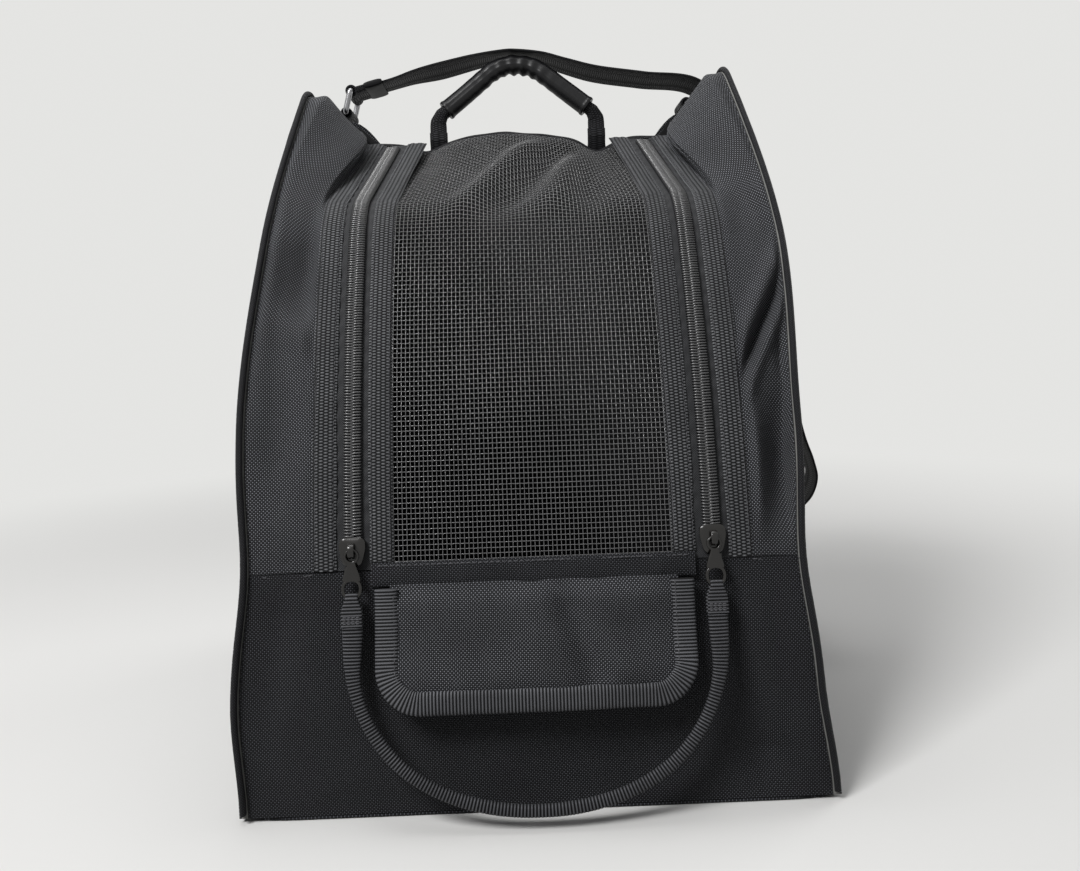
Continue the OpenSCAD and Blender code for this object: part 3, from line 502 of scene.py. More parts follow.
def ribbed(name, dark, light, pitch, depth, dash):
    """Grosgrain or webbing: ribs |sin(pi v / pitch)|, and with a dash broken by |sin(pi u / dash)|.

    Then every second column is half a rib on. The rib crowns are drawn to the light colour, which on black
    cloth is a painted glint."""
    made, tree, shader = start(name, light, CLOTH_ROUGH, CLOTH_SPECULAR)
    u, v = uv_axes(tree, dash or 1.0, pitch)
    if dash:
        column = calc(tree, "FLOOR", calc(tree, "DIVIDE", u, np.pi))
        odd = calc(tree, "ABSOLUTE", calc(tree, "MODULO", column, 2.0))
        rib = calc(tree, "ABSOLUTE", calc(tree, "SINE", calc(tree, "MULTIPLY_ADD", odd, np.pi / 2, v)))
        end = calc(tree, "POWER", calc(tree, "ABSOLUTE", calc(tree, "SINE", u)), 0.4)
        height = calc(tree, "MULTIPLY", rib, end)
    else:
        height = calc(tree, "ABSOLUTE", calc(tree, "SINE", v))
    # Painted highlight: the glint on the rib crowns
    glint_share = calc(tree, "POWER", height, 2.6)
    dress(tree, shader, glint_share, height, (dark, light), depth, wear=45.0, matt=0.25)
    return made


def moulded(name, color, rough, grain, depth, specular=0.5, metal=0.0):
    """Plastic, vinyl, enamel, foam or steel: fine grain in its bump, slow noise in its colour and gloss."""
    made, tree, shader = start(name, color, rough, specular)
    shades = blend_color(tree, noise(tree, 40.0), tint(color, 0.7), tint(color, 1.35))
    gloss = spread(tree, noise(tree, 90.0), rough - 0.08, rough + 0.1)
    for socket, value in (("Base Color", shades), ("Roughness", gloss), ("Metallic", metal)):
        feed(tree, shader.inputs[socket], value)
    raise_by(tree, shader, noise(tree, grain, 4.0), depth)
    return made


# On the cloths below whose dark is BLACK, and on the sewing thread, the light colour is a painted glint of
# raised threads and rib crowns
BLACK = (0.0025, 0.0025, 0.003)
OXFORD = woven("oxford cloth", BLACK, (0.37, 0.38, 0.415), pitch=0.92, depth=0.30)
# A darker copy of the oxford cloth, as painted shadow: used for the lower panel, the hem band and the base
OXFORD_SHADED = woven("oxford cloth of the lower panel", BLACK, (0.155, 0.16, 0.18), pitch=0.92, depth=0.30)
LINING = woven("lining cloth", (0.02, 0.02, 0.021), (0.16, 0.16, 0.165), pitch=0.6, depth=0.05)
FOAM = moulded("grey foam", (0.23, 0.23, 0.22), rough=0.85, grain=900.0, depth=0.15)
BOARD = moulded("base board", (0.03, 0.03, 0.031), rough=0.6, grain=400.0, depth=0.05)
PIPED = woven("piping cloth", BLACK, (0.07, 0.07, 0.08), pitch=0.7, depth=0.14)
GROSGRAIN = ribbed("grosgrain binding", BLACK, (0.20, 0.205, 0.215), RIB, depth=0.30, dash=DASH)
TAB_RIBS = ribbed("grosgrain of the tab", BLACK, (0.165, 0.168, 0.18), RIB, depth=0.40, dash=0)
TAPE = woven("zip tape", (0.02, 0.0205, 0.022), (0.12, 0.122, 0.13), pitch=0.55, depth=0.06)
# The coil is black plastic; its dark grey is partly its own colour and partly a painted glint
COIL = moulded("coil", (0.04, 0.04, 0.042), rough=0.22, grain=700.0, depth=0.02, specular=0.8)
# The net is black coated strand; its light grey colour is a painted glint along the strands
NET = moulded("net strand", (0.105, 0.105, 0.108), rough=0.22, grain=900.0, depth=0.02, specular=0.9)
WEBBING = ribbed("webbing", BLACK, (0.035, 0.035, 0.039), WEB_RIB, depth=0.22, dash=WEB_DASH)
PULL_WEB = ribbed("pull strap webbing", BLACK, (0.125, 0.127, 0.137), RIB, depth=0.45, dash=0)
THREAD = ribbed("sewing thread", (0.03, 0.03, 0.032), (0.28, 0.28, 0.30), pitch=0.5, depth=0.05, dash=0.5)
VINYL = moulded("vinyl grip", (0.007, 0.007, 0.008), rough=0.36, grain=260.0, depth=0.10, specular=0.3)
FILM = moulded("zip end film", (0.02, 0.02, 0.021), rough=0.18, grain=500.0, depth=0.02, specular=0.6)
ENAMEL = moulded("black enamel", (0.012, 0.011, 0.010), rough=0.20, grain=500.0, depth=0.02, specular=0.45)
STEEL = moulded("dark plated steel", (0.30, 0.30, 0.31), rough=0.26, grain=500.0, depth=0.02, metal=1.0)
PLASTIC = moulded("moulded plastic", (0.007, 0.007, 0.008), rough=0.5, grain=500.0, depth=0.03, specular=0.12)


# Camera, floor and light; the lamps, the camera's near limit and the floor's fade are in metres

IMAGE_W, FOCAL_PX, SENSOR_W, NEAREST = 1080, 900.0, 36.0, 0.02
CAMERA_AT = (-1.4, -575.6, 242.3)
CAMERA_PITCH, CAMERA_YAW, CAMERA_ROLL = np.radians(7.334), np.radians(0.88), np.radians(1.92)
BACKDROP, WORLD_LIGHT = (0.78, 0.78, 0.765), (0.06, 0.0615, 0.064)
FLOOR_LOW, FLOOR_HIGH, FLOOR_THROWN = (0.785, 0.78, 0.765), (0.815, 0.81, 0.795), (0.3, 0.298, 0.29)
FLOOR_R, FLOOR_Z = 6000.0, -0.2
FADE_FROM, FADE_TO = 0.35, 1.1


def look(place, pitch, yaw, roll):
    """A camera at a place, looking along +Y turned by yaw to the right and pitch down, then rolled
    about its axis."""
    data = bpy.data.cameras.new("camera")
    data.sensor_width = SENSOR_W
    data.lens = FOCAL_PX / IMAGE_W * SENSOR_W
    data.clip_start = NEAREST
    made = bpy.data.objects.new("camera", data)
    aim = Matrix.Rotation(-yaw, 4, "Z") @ Matrix.Rotation(np.pi / 2 - pitch, 4, "X")
    made.matrix_world = Matrix.Translation(Vector(place) * MM) @ (aim @ Matrix.Rotation(-roll, 4, "Z"))
    bpy.context.scene.collection.objects.link(made)
    bpy.context.scene.camera = made


def lamp(name, place, target, size, power):
    """A square soft box that faces its target; lengths are in metres."""
    data = bpy.data.lights.new(name, "AREA")
    data.size = size
    data.energy = power
    made = bpy.data.objects.new(name, data)
    aim = (Vector(target) - Vector(place)).to_track_quat("-Z", "Y").to_matrix().to_4x4()
    made.matrix_world = Matrix.Translation(Vector(place)) @ aim
    bpy.context.scene.collection.objects.link(made)


def shown_rays(tree):
    """1 for camera, glossy and transmission rays, else 0."""
    rays = tree.nodes.new("ShaderNodeLightPath")
    seen = calc(tree, "MAXIMUM", rays.outputs["Is Glossy Ray"], rays.outputs["Is Transmission Ray"])
    return calc(tree, "MAXIMUM", rays.outputs["Is Camera Ray"], seen)


def mixed(tree, factor, low, high):
    """A shader that is low where factor is 0 and high where it is 1."""
    made = tree.nodes.new("ShaderNodeMixShader")
    for socket, value in zip(made.inputs, (factor, low.outputs[0], high.outputs[0])):
        tree.links.new(value, socket)
    return made


def floor_look(shown):
    """Pale and matt near the object, passing into the backdrop's colour between FADE_FROM and FADE_TO
    metres.

    It throws less light back on the object than it shows."""
    made, tree, shader = start("pale floor", FLOOR_HIGH, 0.8, 0.1)
    feed(tree, shader.inputs["Base Color"], blend_color(tree, noise(tree, 3.0), FLOOR_LOW, FLOOR_HIGH))
    at = tree.nodes.new("ShaderNodeTexCoord")
    far = tree.nodes.new("ShaderNodeVectorMath")
    far.operation = "LENGTH"
    tree.links.new(at.outputs["Object"], far.inputs[0])
    fade = tree.nodes.new("ShaderNodeMapRange")
    fade.interpolation_type = "SMOOTHSTEP"
    for socket, value in (("Value", far.outputs["Value"]), ("From Min", FADE_FROM), ("From Max", FADE_TO)):
        feed(tree, fade.inputs[socket], value)
    glow = tree.nodes.new("ShaderNodeEmission")
    glow.inputs["Color"].default_value = (*shown, 1)
    dim = tree.nodes.new("ShaderNodeBsdfDiffuse")
    dim.inputs["Color"].default_value = (*FLOOR_THROWN, 1)
    faded = mixed(tree, calc(tree, "MULTIPLY", fade.outputs["Result"], shown_rays(tree)), shader, glow)
    seen = mixed(tree, shown_rays(tree), dim, faded)
    tree.links.new(seen.outputs[0], tree.nodes["Material Output"].inputs["Surface"])
    return made


def pale_floor(shown):
    """A round floor just under z = 0: rings of radius r, x = r cos a and y = r sin a."""
    r, a = np.linspace(0.01, FLOOR_R, 5)[:, None], turn(48)
    points = xyz(r * np.cos(a), r * np.sin(a), FLOOR_Z)
    index = np.arange(points.size // 3).reshape(points.shape[:2])
    faces = quads_of(np.concatenate([index, index[:, :1]], 1))
    mesh = bpy.data.meshes.new("floor")
    mesh.from_pydata((points.reshape(-1, 3) * MM).tolist(), [], faces.tolist())
    mesh.materials.append(floor_look(shown))
    floor = bpy.data.objects.new("floor", mesh)
    bpy.context.scene.collection.objects.link(floor)


def pale_world(light, shown):
    """World light of one grey, and a paler backdrop for camera, glossy and transmission rays."""
    world = bpy.data.worlds.new("studio")
    bpy.context.scene.world = world
    world.use_nodes = True
    tree = world.node_tree
    color = blend_color(tree, shown_rays(tree), light, shown)
    tree.links.new(color, tree.nodes["Background"].inputs["Color"])


look(CAMERA_AT, CAMERA_PITCH, CAMERA_YAW, CAMERA_ROLL)
pale_floor(BACKDROP)
pale_world(WORLD_LIGHT, BACKDROP)
lamp("key", place=(-0.9, -1.0, 1.5), target=(0, -0.05, 0.2), size=0.6, power=30.0)
lamp("top", place=(-0.1, 0.1, 1.6), target=(0, 0, 0.3), size=0.9, power=8.0)
lamp("fill", place=(1.35, 0.65, 0.9), target=(0, 0, 0.2), size=1.0, power=7.0)
bpy.context.scene.view_settings.view_transform = "Standard"


# Walls of the bag

BAG, FLAP, HANDLE, PULLS = "bag", "flap", "handle", "pull_loop"
SIDES = {"left": -1, "right": 1}
LAYERS = (("panel", SHELL_T, "oxford", OXFORD), ("foam", FOAM_T, "foam", FOAM),
          ("lining", LINING_T, "lining", LINING))
LAYER_GAP, HEM_ALLOWANCE, REAR_ALLOWANCE = 0.02, 2.0, 12.0
PANEL_SEEDS = {-1: 7, 1: 11}

# How far the top edge of each layer reaches past the seat of the rim roll, and its rise to the corners
REAR_TOP = {"panel": 1.5, "foam": -2.0, "lining": 0.0}
ROLL_SINK, CORNER_LAP, CORNER_RISE, REAR_FIT = 0.4, 4.0, 16.0, 0.3

# Folds of the gussets: height, place and width along the zip, drift along it towards the side seam, then
# place and width across from the zip
GUSSET_FOLDS = {
    -1: ((-7.5, 0.94, 0.20, 0, 0.26, 0.30), (3.0, 0.92, 0.3, 0, 0.82, 0.14),
         (4.0, 0.64, 0.065, 0.16, 0.25, 0.45), (-3.0, 0.38, 0.16, 0, 0.5, 0.3)),
    1: ((-6.5, 0.497, 0.045, 0.3125, 0.5, 0.6), (4.0, 0.585, 0.06, 0.3125, 0, np.inf),
        (3.5, 0.425, 0.045, 0.3125, 0, np.inf), (-11, 0.27, 0.17, 0, 0.82, 0.42), (5, 0.27, 0.2, 0, 0.2, 0.2),
        (-3.0, 0.58, 0.06, 0, 0.9, 0.12), (-2.5, 1.1, 0.16, 0, 0.5, 0.3))}
BINDING_SHARE, GUSSET_CUT_W, GUSSET_SLACK = 0.03, 95.0, 60.0

# The cord shows thinner than its solid and sits a little into the seam
CORD_THIN, CORD_SUNK = 0.6, 0.25
ASKEW = (0.3, 0.5, 0.81)


def layered(node, grid_at):
    """A wall's outer cloth, foam and lining, one under the other: grid_at gives a layer's points, u and
    v at a depth."""
    depth = 0.0
    for layer, t, slot, material in LAYERS:
        outer, u, v = grid_at(layer, depth + LAYER_GAP)
        inner = grid_at(layer, depth + t - LAYER_GAP)[0]
        skin = shell(outer, inner, u, v)
        made = piece(f"{node}_{layer}_cloth", *skin, BAG, slot, material, [f"{node}_{layer}"])
        depth += t


def panel_grid(side, d):
    """A side panel at depth d: each row runs level from the front edge to the rear edge, and rows crowd
    to the ear.

    The cloth swells outward between its seams, by 4 u (1 - u) across and held at foot and top, with
    soft dents."""
    foot = WALL_T * np.tan(SIDE_LEAN)
    v = np.sin(np.linspace(0, np.pi / 2, 72) ** 0.98)[:, None]
    u = np.linspace(0, 1, 72)[None]
    h = foot + v * (EAR_TOP - foot - 0.05)
    ear = np.sqrt(np.maximum(EAR_R ** 2 - (h - EAR_Z) ** 2, 0))
    front = np.where(h < FRONT_R * np.sin(EAR_FROM), MID_Y - np.sqrt(FRONT_R ** 2 - h ** 2), EAR_Y - ear)
    rear = np.where(h < EDGE_L * np.cos(EDGE_LEAN), HALF_D - h * np.tan(EDGE_LEAN), EAR_Y + ear)
    y = front + u * (rear - front)
    swell = 4 * u * (1 - u) * held(v, 7, 6) * (2.2 + 2.2 * soft(u, v, PANEL_SEEDS[side], 1.6))
    return side_point(side, y, h, d - swell), y, h


def side_wall(name, side):
    """The layers of one side panel."""
    layered(f"{name}_side", lambda layer, d: panel_grid(side, d))


def rear_grid(layer, d):
    """A layer of the rear wall at depth d: rows run level between the side walls, the top edge with the
    rim's wave.

    The wall bows outward, by 1 - u^2 across and held at foot and top, with soft dents."""
    u = np.linspace(-1, 1, 81)[None]
    v = np.linspace(0, 1, 73)[:, None]
    foot = WALL_T * np.tan(BACK_LEAN)
    wide = INNER_HALF - REAR_FIT
    corner = RIM_REACH - CORNER_LAP
    rise = np.clip((np.abs(u) * wide - corner) / (wide - corner), 0, 1)
    seat = ROLL_UP - ROLL_R - ROLL_SINK + REAR_TOP[layer]
    top = seat + (BACK_L - 2 * ROLL_R - ROLL_UP) * rise + CORNER_RISE * np.sin(np.pi * rise)
    up = foot + v * (top - foot)
    h = up * np.cos(BACK_LEAN)
    x = u * (wide - h * np.tan(SIDE_LEAN) + side_bow(h, np.sign(u)))
    swell = (1 - u * u) * held(v, 7, 8) * (2.5 + 2.0 * soft(u, v, 23, 1.3))
    up = up + rim_wave(x) * ramp(v, 0.72, 1)
    return back_point(x, up, d - swell), x, up


def lower_front():
    """The panel under the seam: the front curve from the floor to the seam, with soft dents.

    A long hollow slants down beside its right edge, and a small swell stands beside the left one."""
    a = np.linspace(0.0, 1.0, 61)[:, None]
    u = np.linspace(-1, 1, 121)[None]
    angle = a * SEAM_A
    h = front_arc(angle)[1] - BASE_T
    x = u * (INNER_HALF - h * np.tan(SIDE_LEAN) + side_bow(h, np.sign(u)) - 0.1)
    free = np.minimum(1, 9 * (1 - np.abs(u))) * held(a, 5, 6)
    forms = 1.8 * soft(u * 1.2, a, 5, 1.5) - 5.0 * hill(u, 0.80 - 0.12 * a, 0.09) + 1.4 * hill(u, -0.8, 0.08)
    dents = np.minimum(free * (forms - 0.6), 0.6) - free * 0.6
    grids = [xyz(x, *front_arc(angle, n + dents)) for n in (0.0, -FRONT_T)]
    skin = shell(*grids, x, angle * FRONT_R)
    # The darker oxford here is painted shadow under the tab
    made = piece("front_lower_panel_cloth", *skin, BAG, "oxford_dark", OXFORD_SHADED, ["front_lower_panel"])


def gusset_folds(side, r, t):
    """How far a gusset's cloth stands out of its straight rule, r along it and t across.

    Each fold is a hump along a slanting line; the top is full, where the cloth has slack, and seams
    hold all edges."""
    folds = 0.8 * soft(t, r, 31 + side, 1.6)
    for height, r_at, r_width, drift, t_at, t_width in GUSSET_FOLDS[side]:
        folds = folds + height * hill(r - drift * t, r_at, r_width) * hill(t, t_at, t_width)
    loose = ramp(t, 0.0, 0.2) * ramp(1 - t, 0.0, 0.14) * ramp(r, 0.0, 0.12) * ramp(2 - r, 0, 0.25)
    full = (14 - 8 * t) * ramp(r, 1.1, 1.7) * (1 - 0.35 * ramp(r, 1.8, 2))
    return loose * folds + ramp(t, 0.0, 0.12) * ramp(1 - t, 0.0, 0.10) * full


def gusset(name, side):
    """The cloth between a zip and the side seam, ruled from the flap's outline to the side outline,
    with folds.

    Its first strip, under the binding, keeps to the flap's outline."""
    r = np.linspace(0, 2, 121)[:, None]
    low = SEAM_A + 2 * RUN_GAP / FRONT_R
    low_l, low_share = (low - SEAM_A) * FRONT_R, low / BEND_FROM
    l = np.where(r < 1, low_l + r * (ARC_L - low_l), ARC_L + (r - 1) * (FLAP_L - ARC_L))
    share = np.where(r < 1, low_share + r * (1 - low_share), r)
    t = np.append(0.0, np.linspace(BINDING_SHARE, 1, 48))[None]
    ruled = (t[..., None] - BINDING_SHARE) / (1 - BINDING_SHARE)
    x = zip_at(flap_out(l)[0]) + TAPE_REACH
    grids = []
    for n in (-0.02, -FRONT_T):
        y, z = flap_out(l, n)
        edge, bound = xyz(x, y, z), xyz(x + BINDING_W, y, z)
        seam = side_point(side, *side_edge(share, n), WALL_T) * [side, 1, 1]
        grids.append(np.where(ruled < 0, edge, bound + (seam - bound) * ruled))
    out = unit(np.cross(np.gradient(grids[0], axis=1), np.gradient(grids[0], axis=0)))
    out = np.where(out[..., 1:2] - out[..., 2:3] > 0, -out, out)
    folds = gusset_folds(side, r, t)[..., None] * out
    grids = [(grid + folds) * [side, 1, 1] for grid in grids]
    steps = np.diff(grids[0], axis=1, prepend=grids[0][:, :1])
    across = np.cumsum(np.linalg.norm(steps, axis=-1), axis=1)
    node = f"{name}_front_gusset"
    made = piece(f"{node}_cloth", *shell(*grids, across, l), BAG, "oxford", OXFORD, [node])


def tube(name, path, r, node, sides, wrinkle, seed):
    """A round cord along a path, its radius uneven by a slow seeded wave."""
    path = evenly(path, 1.6)
    l, a = length_along(path), turn(sides)
    girth = r * (1 + wrinkle * soft(l[:, None] / 60, a[None] / 6, seed, 3.0))
    rings = carried(path, ASKEW, girth * np.cos(a), girth * np.sin(a))
    return piece(name, *pipe(rings, 2 * np.pi * r, l), BAG, "piping", PIPED, [node])


def piping(name, side):
    """Cord on the side seam: a round profile along the front curve, over the ear and down the rear edge."""
    r = PIPING_R - CORD_THIN
    lift = r + SEAT_GAP - CORD_SUNK
    y, h = side_edge(np.linspace(0.01, 2, 160), lift)
    foot = WALL_T * np.tan(SIDE_LEAN) + PIPING_R
    end = HALF_D - foot * np.tan(EDGE_LEAN) + lift / np.cos(EDGE_LEAN)
    y = np.append(y, np.linspace(y[-1], end, 40)[1:])
    h = np.append(h, np.linspace(h[-1], foot, 40)[1:])
    path = side_point(side, y, h, WALL_T / 2)
    tube(f"{name}_piping_cord", path, r, f"{name}_piping", sides=14, wrinkle=0.07, seed=40 + side)


def rim_roll():
    """Padded roll along the rear rim: a round profile, a little uneven, on a line with the rim's wave."""
    x = np.linspace(-RIM_REACH, RIM_REACH, 160)
    path = back_point(x, ROLL_UP + rim_wave(x), ROLL_R)
    made = tube("rear_rim_roll_cloth", path, ROLL_R, "rear_rim_roll", sides=18, wrinkle=0.08, seed=44)


def base():
    """The base cloth: a slab with rounded corners, r(a) a superellipse of power 24, its edge a half
    round."""
    power = 24.0
    a = turn(240)
    r = (np.abs(np.cos(a)) ** power + np.abs(np.sin(a)) ** power) ** (-1 / power)
    rim = np.stack([HALF_W * r * np.cos(a), HALF_D * r * np.sin(a)], -1)
    face = np.linspace(0.02, 0.97, 8)[:, None, None] * rim
    b = np.linspace(-np.pi / 2, np.pi / 2, 7)[:, None, None]
    edge = rim - (1 - np.cos(b)) * BASE_T / 2 * unit(rim)
    flat = np.concatenate([face, edge, face[::-1]])
    z = np.concatenate([np.zeros(8), BASE_T / 2 * (1 + np.sin(b[:, 0, 0])), np.full(8, BASE_T)])
    rings = xyz(flat[..., 0], flat[..., 1], z[:, None])
    points, faces, _ = pipe(rings, 1.0, np.arange(len(z)))
    # The darker oxford here is painted shadow
    piece("base_cloth", points, faces, points[:, :2], BAG, "oxford_dark", OXFORD_SHADED, ["base_panel"])


for name, side in SIDES.items():
    side_wall(name, side)
    gusset(name, side)
    piping(name, side)
layered("back", rear_grid)
lower_front()
rim_roll()
base()


# Zips, net and hand tab

OVER_L = FLAP_L - ARC_L
TAPE_FROM, TAPE_END, FLAP_END = 0.6, ARC_L + 0.985 * OVER_L, ARC_L + 0.995 * OVER_L
CHAIN_HALF, CHAIN_FROM, CHAIN_TO, COIL_PITCH = 1.6, 11.0, ARC_L + 0.93 * OVER_L, 1.5
BINDING_LAP, STITCH_SHARE, THREAD_OUT = 1.0, 0.76, 0.05
FRONT_FACING, REAR_FACING = (0.0, -1.0, 0.2), (0.0, 0.95, 0.31)

# A tooth of the coil, a wire from the tape over the top to its head: places across, heights, radii and shifts
TOOTH_C = np.array([4.3, 4.45, 3.8, 2.5, 0.9, -0.6, -0.9, -0.3])
TOOTH_N = np.array([0.1, 1.0, 1.75, 2.05, 2.05, 1.75, 1.2, 0.7])
TOOTH_R = np.array([0.36, 0.44, 0.5, 0.52, 0.52, 0.5, 0.44, 0.3])
TOOTH_SLANT = np.linspace(0.7, -0.1, len(TOOTH_C))

# Net: pitches, strand and first crossing; its folds have a height, a place and drift across, and a width
NET_ACROSS, NET_ALONG, STRAND_R, STRAND_WAVE, NET_FROM = 2.2, 2.6, 0.23, 0.2, 1.5
NET_FOLDS = (5, -0.55, 0.8, 0.12), (-6, -0.24, 0.7, 0.13), (4, 0.12, 0.5, 0.11), (-4, 0.50, 0.0, 0.10)

# Hem and hand tab on the front curve; the tab's folds have a height, a place across and a width
HEM_TOP = SEAM_A + HEM_LAP / FRONT_R
HEM_LOW = HEM_TOP - HEM_H / FRONT_R
TAB_A = HEM_LOW - TAB_H / 2 / FRONT_R
TAB_OUT = TAB_H ** 2 / (8 * FRONT_R) + RUN_GAP
TAB_STAND, TAB_INSET, TAB_UP, TAB_SUNK_L = 10.0, 7.0, 1.5, 8.0
PAD_FRONT, PAD_BACK, PAD_CROWN, FRONT_SUNK, BACK_SUNK = 3.2, 0.6, 4.0, 2.4, 2.0
TAB_BINDING_T, TAB_BINDING_N, TAB_STITCH_IN, TAB_STITCH_N = 4.4, 2.9, 1.6, 4.85
TAB_FOLDS = (-4.2, 0, 0.10), (2.0, 0.24, 0.13), (1.2, -0.22, 0.14)

# Sliders: angle of their middle on the front curve, length, half width and its flare to the top; then the
# plates, the side walls between them, the bridge for the pull and the post that parts the chain
SLIDER_A, SLIDER_L, SLIDER_HALF, SLIDER_FLARE, FLARE_TO = np.radians(13.3763), 14.0, 4.9, 1.6, 3.0
PLATE_T, PLATE_OUT, PLATE_IN = 1.4, 2.5, -1.3
CHEEK_C, CHEEK_N, CHEEK_W, CHEEK_H = 4.2, 1.6, 0.9, 2.4
BRIDGE_AT, BRIDGE_HALF, BRIDGE_FOOT, BRIDGE_RISE, BRIDGE_W, BRIDGE_T = 0.4, 3.3, 0.8, 4.0, 3.2, 1.1
POST_AT, POST_W, POST_L = 4.8, 2.0, 3.4


def ribs(l, u, pitch=RIB, dash=DASH):
    """Height of ribbed cloth from 0 to 1: |sin(pi l / pitch)|, every second column of a dash's width
    half a rib on."""
    return np.abs(np.sin(np.pi * (l / pitch + 0.5 * (np.floor(u / dash) % 2))))


def stitches(name, path, out, body, pitch=3.2, long=2.4, r=0.3):
    """A row of thread along a path: a short round stitch every pitch, each sunk at its ends, out the
    way it faces."""
    l, out = length_along(path), np.broadcast_to(out, path.shape)
    at = pitch * (np.arange(int(l[-1] / pitch)) + 0.5)[:, None] + long / 2 * np.array([-1, -0.55, 0.55, 1])
    mid, up = (np.stack([np.interp(at, l, of[:, k]) for k in range(3)], -1) for of in (path, out))
    up = unit(up)
    across = unit(np.cross(mid[:, -1:] - mid[:, :1], up))
    a = turn(6)
    high = r * np.sin(a) + np.array([-1.0, 0.2, 0.2, -1.0])[:, None] * r
    rings = mid[:, :, None] + across[:, :, None] * (r * np.cos(a))[:, None] + up[:, :, None] * high[..., None]
    points, faces = bundle(rings)
    uv = np.stack(np.broadcast_arrays(r * a, at[..., None]), -1)
    piece(name, points, faces, uv, body, "grosgrain", THREAD)


def grosgrain(node, side, c_from, l_from, body):
    """Ribbed strip beside a zip: its top crowned, n = t (1 - 0.65 x^6), with ribs in dashes and an
    uneven edge.

    Two rows of stitches draw it in."""
    l = np.linspace(l_from, FLAP_END, int((FLAP_END - l_from) / RIB * 4))[:, None]
    t = np.linspace(-1, 1, 21)[None]
    half = BINDING_W / 2
    mid = c_from + half
    c = mid + half * t + 0.35 * np.abs(t) * soft(l / 30, t, int(c_from) + 60, 1.0)
    thick = BINDING_T + 0.28 * ribs(l, c) + 0.3 * soft(l / 50, 0.0, 9, 1.5)
    lift = (1 - 0.65 * t ** 6) * thick - 0.3 * hill(np.abs(t), STITCH_SHARE, 0.07)
    grids = on_zip(side, c, l, lift), on_zip(side, c, l, 0.03)
    piece(f"{node}_ribbed", *shell(*grids, c, l), body, "grosgrain", GROSGRAIN, [node])
    row = np.linspace(l_from + 2, FLAP_END - 2, 300)
    for edge, share in (("inner", -STITCH_SHARE), ("outer", STITCH_SHARE)):
        path, over = (on_zip(side, mid + half * share, row, BINDING_T + THREAD_OUT + n) for n in (0, 1))
        stitches(f"{node}_{edge}_stitches", path, over - path, body, r=0.26)


def tape(node, side, c_from, c_to, body):
    """Zip tape: a thin strip under the coil, puckered where the binding's stitches draw it in."""
    l = np.linspace(TAPE_FROM, TAPE_END, 300)[:, None]
    c = np.linspace(c_from, c_to, 10)[None]
    pucker = 0.3 * ramp(np.abs(c), 4.5, 8) * np.sin(2 * np.pi * l / 9.5 + 2 * soft(l / 40, 0.0, 3, 1.0))
    grids = [on_zip(side, c, l, n + pucker) for n in (TAPE_OUT, TAPE_OUT - TAPE_T)]
    piece(f"{node}_woven", *shell(*grids, c, l), body, "zip_tape", TAPE, [node])


def coil(node, side, half, body):
    """One half of a chain: a tooth every COIL_PITCH, each a bent round wire from the tape over the top
    to its head.

    The heads reach past the middle between those of the other half."""
    count = int((CHAIN_TO - CHAIN_FROM) / COIL_PITCH)
    first = CHAIN_FROM + (COIL_PITCH / 2 if half < 0 else 0.0)
    along = unit(np.stack([np.gradient(TOOTH_C), np.gradient(TOOTH_N)], -1))
    wide, thick = (TOOTH_R[:, None] * wave(turn(6)) for wave in (np.cos, np.sin))
    c = TOOTH_C[:, None] - along[:, 1:] * wide
    n = TOOTH_N[:, None] + along[:, :1] * wide
    l = first + COIL_PITCH * np.arange(count)[:, None, None] + TOOTH_SLANT[:, None] + thick
    points, faces = bundle(on_zip(side, half * c, l, n))
    uv = np.stack(np.broadcast_arrays(c, l), -1)
    piece(f"{node}_teeth", points, faces, uv, body, "coil", COIL, [node], crease=80)


def net_point(s, l, dx, n):
    """A point of the net: s from -1 to 1 across the flap, l along it, dx and n off it; its end follows
    the rim's wave.

    The net stands slightly proud and uneven, and its top has slanting folds."""
    x = s * (zip_at(flap_out(l)[0]) - TAPE_REACH - RUN_GAP)
    slack = (1 - s ** 2) * (1.6 * soft(s, l / 160, 71, 1.3) + 1.0) * ramp(l, 5, 60) * ramp(FLAP_L - l, 0, 40)
    y, z = flap_out(l, n + slack - 0.5)
    q = (l - ARC_L) / OVER_L
    folds = sum(height * hill(s - drift * q, at, width) for height, at, drift, width in NET_FOLDS)
    sag = rim_wave(x) * ramp(q, 0.1, 1) + folds * ramp(q, 0.02, 0.3) * ramp(1 - q, 0.0, 0.3)
    return xyz(x + dx, y, z + sag)


def over_under(strands, crossings):
    """Height of each strand over the net as it passes the crossing ones: a cosine, turned round at
    every next strand."""
    phase = np.arange(strands + 1)[:, None] + np.arange(2 * crossings + 1)[None] / 2
    return STRAND_WAVE * np.cos(np.pi * phase)[..., None]


def net():
    """Coated net: round strands both ways, each going over and under the other."""
    cols = int(round(2 * (ZIP_X - TAPE_REACH) / NET_ACROSS))
    rows = int(round((FLAP_END - NET_FROM) / NET_ALONG))
    s, fine_s = (np.linspace(-1, 1, count + 1) for count in (cols, 2 * cols))
    l, fine_l = (np.linspace(NET_FROM, FLAP_END, count + 1) for count in (rows, 2 * rows))
    wide, thick = STRAND_R * np.cos(turn(5)), STRAND_R * np.sin(turn(5))
    lengthwise = net_point(s[:, None, None], fine_l[None, :, None], wide, thick + over_under(cols, rows))
    crosswise = net_point(fine_s[None, :, None], l[:, None, None] + wide, 0.0, thick - over_under(rows, cols))
    sets = ("net_lengthwise", lengthwise, ["flap_net"]), ("net_crosswise", crosswise, ())
    for name, rings, nodes in sets:
        points, faces = bundle(rings)
        piece(name, points, faces, points[:, [0, 2]], FLAP, "net", NET, nodes, crease=120)


